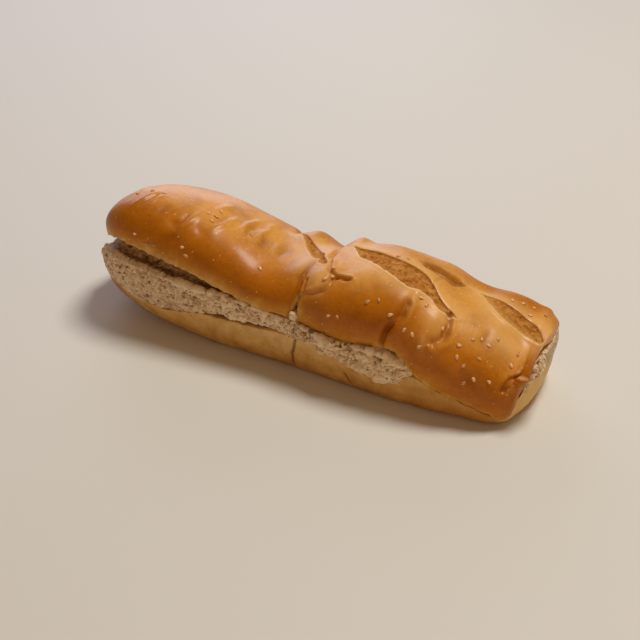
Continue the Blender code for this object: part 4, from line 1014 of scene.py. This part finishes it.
def makePlainCrust():
    # Underside of a pan-baked roll: matt, thin skin, pale tan at the sides and browner where it met the tin.
    look = plainCrust
    material, tree = newMaterial("plainBreadCrust")
    place = addNode(tree, "ShaderNodeTexCoord")
    split = addNode(tree, "ShaderNodeSeparateXYZ", inputs={0: place.outputs["Object"]})
    face = addNode(tree, "ShaderNodeAttribute", {"attribute_name": "cutFace"})
    crack = addNode(tree, "ShaderNodeAttribute", {"attribute_name": "crackShade"})
    mottle = addNode(tree, "ShaderNodeTexNoise", inputs={
        "Vector": place.outputs["Object"], "Scale": 1 / (8 * mm), "Detail": 4.0, "Roughness": 0.6})
    level = addNode(tree, "ShaderNodeMapRange", inputs={
        "Value": split.outputs["Z"], "From Min": 0.0, "From Max": 20 * mm, "To Min": 0.75, "To Max": 0.05})
    tone = addNode(tree, "ShaderNodeMath", {"operation": "MULTIPLY_ADD"}, {
        0: mottle.outputs["Fac"], 1: 1.1, 2: level.outputs["Result"]})
    toneDown = addNode(tree, "ShaderNodeMath", {"operation": "SUBTRACT"}, {0: tone.outputs[0], 1: 0.5})
    baked = addNode(tree, "ShaderNodeValToRGB", inputs={"Fac": toneDown.outputs[0]}, stops=[
        (0.0, look["pale"]), (0.9, look["brown"]), (0.4, look["tan"])])
    end = addNode(tree, "ShaderNodeMapRange", inputs={
        "Value": split.outputs["X"], "From Min": (look["endFromMm"] + shift[0]) * mm,
        "From Max": (look["endToMm"] + shift[0]) * mm, "To Min": 0.0, "To Max": 0.85})
    browned = addNode(tree, "ShaderNodeMix", {"data_type": "RGBA"}, {
        0: end.outputs["Result"], 6: baked.outputs["Color"], 7: toLinear(look["endBrown"])})
    # The other end: golden low down along the front, pale where the end face pulled open.
    lowAlong = addNode(tree, "ShaderNodeMapRange", inputs={
        "Value": split.outputs["X"], "From Min": (look["lowFromMm"] + shift[0]) * mm,
        "From Max": (look["lowToMm"] + shift[0]) * mm})
    lowDown = addNode(tree, "ShaderNodeMapRange", inputs={
        "Value": split.outputs["Z"], "From Min": 4 * mm, "From Max": 15 * mm, "To Min": 0.75, "To Max": 0.15})
    lowMask = addNode(tree, "ShaderNodeMath", {"operation": "MULTIPLY"}, {
        0: lowAlong.outputs["Result"], 1: lowDown.outputs["Result"]})
    lowered = addNode(tree, "ShaderNodeMix", {"data_type": "RGBA"}, {
        0: lowMask.outputs[0], 6: browned.outputs[2], 7: toLinear(look["lowGold"])})
    tornOpen = addNode(tree, "ShaderNodeMapRange", inputs={
        "Value": split.outputs["X"], "From Min": (look["tornFromMm"] + shift[0]) * mm,
        "From Max": (look["tornToMm"] + shift[0]) * mm, "To Max": 0.85})
    ended = addNode(tree, "ShaderNodeMix", {"data_type": "RGBA"}, {
        0: tornOpen.outputs["Result"], 6: lowered.outputs[2], 7: toLinear(look["torn"])})
    pits = addNode(tree, "ShaderNodeTexVoronoi", inputs={
        "Vector": place.outputs["Object"], "Scale": 1 / (look["pitMm"] * mm)})
    pitted = addNode(tree, "ShaderNodeMapRange", inputs={
        "Value": pits.outputs["Distance"], "From Min": 0.06, "From Max": 0.16, "To Min": 0.6, "To Max": 0.0})
    dotted = addNode(tree, "ShaderNodeMix", {"data_type": "RGBA"}, {
        0: pitted.outputs["Result"], 6: ended.outputs[2], 7: toLinear(look["brown"])})
    # The cracks are painted dark brown: painted shade in the grooves.
    cracked = addNode(tree, "ShaderNodeMix", {"data_type": "RGBA"}, {
        0: crack.outputs["Fac"], 6: dotted.outputs[2], 7: toLinear(look["crack"])})
    colour = addNode(tree, "ShaderNodeMix", {"data_type": "RGBA"}, {
        0: face.outputs["Fac"], 6: cracked.outputs[2], 7: toLinear(look["crumb"])})
    grain = addNode(tree, "ShaderNodeTexNoise", inputs={
        "Vector": place.outputs["Object"], "Scale": 1 / (1.2 * mm), "Detail": 4.0, "Roughness": 0.6})
    pitBump = addNode(tree, "ShaderNodeBump", {"invert": True}, {
        "Height": pitted.outputs["Result"], "Strength": 0.6, "Distance": 0.5 * mm})
    bump = addNode(tree, "ShaderNodeBump", inputs={
        "Height": grain.outputs["Fac"], "Strength": 0.25, "Distance": 0.4 * mm, "Normal": pitBump.outputs["Normal"]})
    shader = addNode(tree, "ShaderNodeBsdfPrincipled", inputs={
        "Base Color": colour.outputs[2], "Roughness": 0.62, "Normal": bump.outputs["Normal"], "IOR": 1.45})
    addNode(tree, "ShaderNodeOutputMaterial", inputs={"Surface": shader.outputs[0]})
    return material


choppedSpread = {
    "light": "#F2DAB6", "mid": "#C8A680", "dark": "#7C5A40", "pore": "#563A24",
}


def makeChoppedSpread():
    # Cooked, chopped and bound filling: moist, opaque, greyish beige with dark pores between the flakes; the dark of
    # the pores is painted shade in the holes.
    look = choppedSpread
    material, tree = newMaterial("choppedSpread")
    place = addNode(tree, "ShaderNodeTexCoord")
    pore = addNode(tree, "ShaderNodeAttribute", {"attribute_name": "poreShade"})
    height = addNode(tree, "ShaderNodeAttribute", {"attribute_name": "heightMm"})
    flakes = addNode(tree, "ShaderNodeTexNoise", inputs={
        "Vector": place.outputs["Object"], "Scale": 1 / (1.8 * mm), "Detail": 5.0, "Roughness": 0.65})
    # Raised parts are painted lighter and low parts darker: a painted highlight on the lumps and painted shade in the
    # hollows, over the flakes' own tone.
    lifted = addNode(tree, "ShaderNodeMath", {"operation": "MULTIPLY_ADD"}, {
        0: height.outputs["Fac"], 1: 0.2, 2: flakes.outputs["Fac"]})
    tone = addNode(tree, "ShaderNodeValToRGB", inputs={"Fac": lifted.outputs[0]}, stops=[
        (0.24, look["dark"]), (0.7, look["light"]), (0.44, look["mid"])])
    # Pores and crevices mixed towards the pore colour: painted shade.
    colour = addNode(tree, "ShaderNodeMix", {"data_type": "RGBA"}, {
        0: pore.outputs["Fac"], 6: tone.outputs["Color"], 7: toLinear(look["pore"])})
    bump = addNode(tree, "ShaderNodeBump", inputs={
        "Height": flakes.outputs["Fac"], "Strength": 0.8, "Distance": 0.7 * mm})
    shader = addNode(tree, "ShaderNodeBsdfPrincipled", inputs={
        "Base Color": colour.outputs[2], "Roughness": 0.6, "Normal": bump.outputs["Normal"], "IOR": 1.4})
    addNode(tree, "ShaderNodeOutputMaterial", inputs={"Surface": shader.outputs[0]})
    return material


toastedSesame = {"hull": "#EAC088", "tip": "#C48644"}


def makeToastedSesame():
    # Hulled white sesame, lightly toasted: smooth, faintly oily, warm cream with browner tips.
    look = toastedSesame
    material, tree = newMaterial("toastedSesame")
    place = addNode(tree, "ShaderNodeTexCoord")
    patches = addNode(tree, "ShaderNodeTexNoise", inputs={
        "Vector": place.outputs["Object"], "Scale": 1 / (2.2 * mm), "Detail": 2.0})
    tone = addNode(tree, "ShaderNodeValToRGB", inputs={"Fac": patches.outputs["Fac"]}, stops=[
        (0.35, look["tip"]), (0.6, look["hull"])])
    shader = addNode(tree, "ShaderNodeBsdfPrincipled", inputs={
        "Base Color": tone.outputs["Color"], "Roughness": 0.45, "IOR": 1.47})
    addNode(tree, "ShaderNodeOutputMaterial", inputs={"Surface": shader.outputs[0]})
    return material


# ---- putting the sandwich together

topPiece, topSurface = makeTopHalf()
bottomPiece = makeBottomHalf()
fillingPiece, fillingSurface = makeFilling()
shredPiece = makeShreds(fillingSurface)
spread = makeChoppedSpread()
seedPiece = makeSeeds(topSurface)
for piece, material, node, slot in (
        (topPiece, makeGlazedCrust(), "top_bun", "top_crust"),
        (bottomPiece, makePlainCrust(), "bottom_bun", "bottom_crust"),
        (fillingPiece, spread, "filling", "filling"),
        (shredPiece, spread, None, "filling"),
        (seedPiece, makeToastedSesame(), None, "top_crust")):
    piece.data.materials.append(material)
    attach(piece, "root")
    if node:
        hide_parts(node)
print("pieces placed")

# ---- floor, light and camera

studio = {
    "floor": "#DDDBD6",
    "world": "#FFDAB2", "worldStrength": 0.18,
    "keyFrom": (0.2, 0.31, 0.95), "keyDistance": 1.6, "keySize": 0.5, "keyWatts": 17.2, "keyTint": "#FCF8EE",
    "fillFrom": (0.45, -0.9, 0.3), "fillDistance": 1.1, "fillSize": 1.0, "fillWatts": 1.9, "fillTint": "#FFCF94",
    "backFrom": (-0.6, 0.78, 0.25), "backDistance": 1.6, "backSize": 1.3, "backWatts": 8.6, "backTint": "#DCE0FF",
}


def addLamp(name, direction, distance, size, watts, tint):
    lamp = bpy.data.lights.new(name, "AREA")
    lamp.shape = "DISK"
    lamp.size = size
    lamp.energy = watts
    lamp.color = toLinear(tint)[:3]
    holder = bpy.data.objects.new(name, lamp)
    holder.location = Vector(direction).normalized() * distance
    holder.rotation_euler = Vector(direction).to_track_quat("Z", "Y").to_euler()
    bpy.context.scene.collection.objects.link(holder)


def makeStudio():
    floorMesh = bpy.data.meshes.new("studioFloor")
    reach = 3.0
    floorMesh.from_pydata([(-reach, -reach, 0), (reach, -reach, 0), (reach, reach, 0), (-reach, reach, 0)],
                          [], [(0, 1, 2, 3)])
    floor = bpy.data.objects.new("studioFloor", floorMesh)
    material, tree = newMaterial("paleStudioFloor")
    shader = addNode(tree, "ShaderNodeBsdfPrincipled", inputs={
        "Base Color": toLinear(studio["floor"]), "Roughness": 0.6})
    addNode(tree, "ShaderNodeOutputMaterial", inputs={"Surface": shader.outputs[0]})
    floorMesh.materials.append(material)
    bpy.context.scene.collection.objects.link(floor)
    world = bpy.data.worlds.new("studioAir")
    world.use_nodes = True
    world.node_tree.nodes.clear()
    glow = addNode(world.node_tree, "ShaderNodeBackground", inputs={
        "Color": toLinear(studio["world"]), "Strength": studio["worldStrength"]})
    addNode(world.node_tree, "ShaderNodeOutputWorld", inputs={"Surface": glow.outputs[0]})
    bpy.context.scene.world = world
    addLamp("windowKey", studio["keyFrom"], studio["keyDistance"], studio["keySize"], studio["keyWatts"],
            studio["keyTint"])
    addLamp("roomFill", studio["fillFrom"], studio["fillDistance"], studio["fillSize"], studio["fillWatts"],
            studio["fillTint"])
    addLamp("backWindow", studio["backFrom"], studio["backDistance"], studio["backSize"], studio["backWatts"],
            studio["backTint"])


camera = {"azimuthDeg": 27.0, "pitchDeg": 33.8, "lensMm": 61.875, "place": (203.97, -400.30, 311.53)}


def makeCamera():
    lens = bpy.data.cameras.new("camera")
    lens.lens = camera["lensMm"]
    lens.sensor_width = 36.0
    lens.clip_start = 0.01
    holder = bpy.data.objects.new("camera", lens)
    holder.location = Vector((np.array(camera["place"]) + shift) * mm)
    holder.rotation_euler = (math.radians(90 - camera["pitchDeg"]), 0, math.radians(camera["azimuthDeg"]))
    bpy.context.scene.collection.objects.link(holder)
    bpy.context.scene.camera = holder
    bpy.context.scene.view_settings.view_transform = "Standard"


makeStudio()
makeCamera()
print("studio ready")
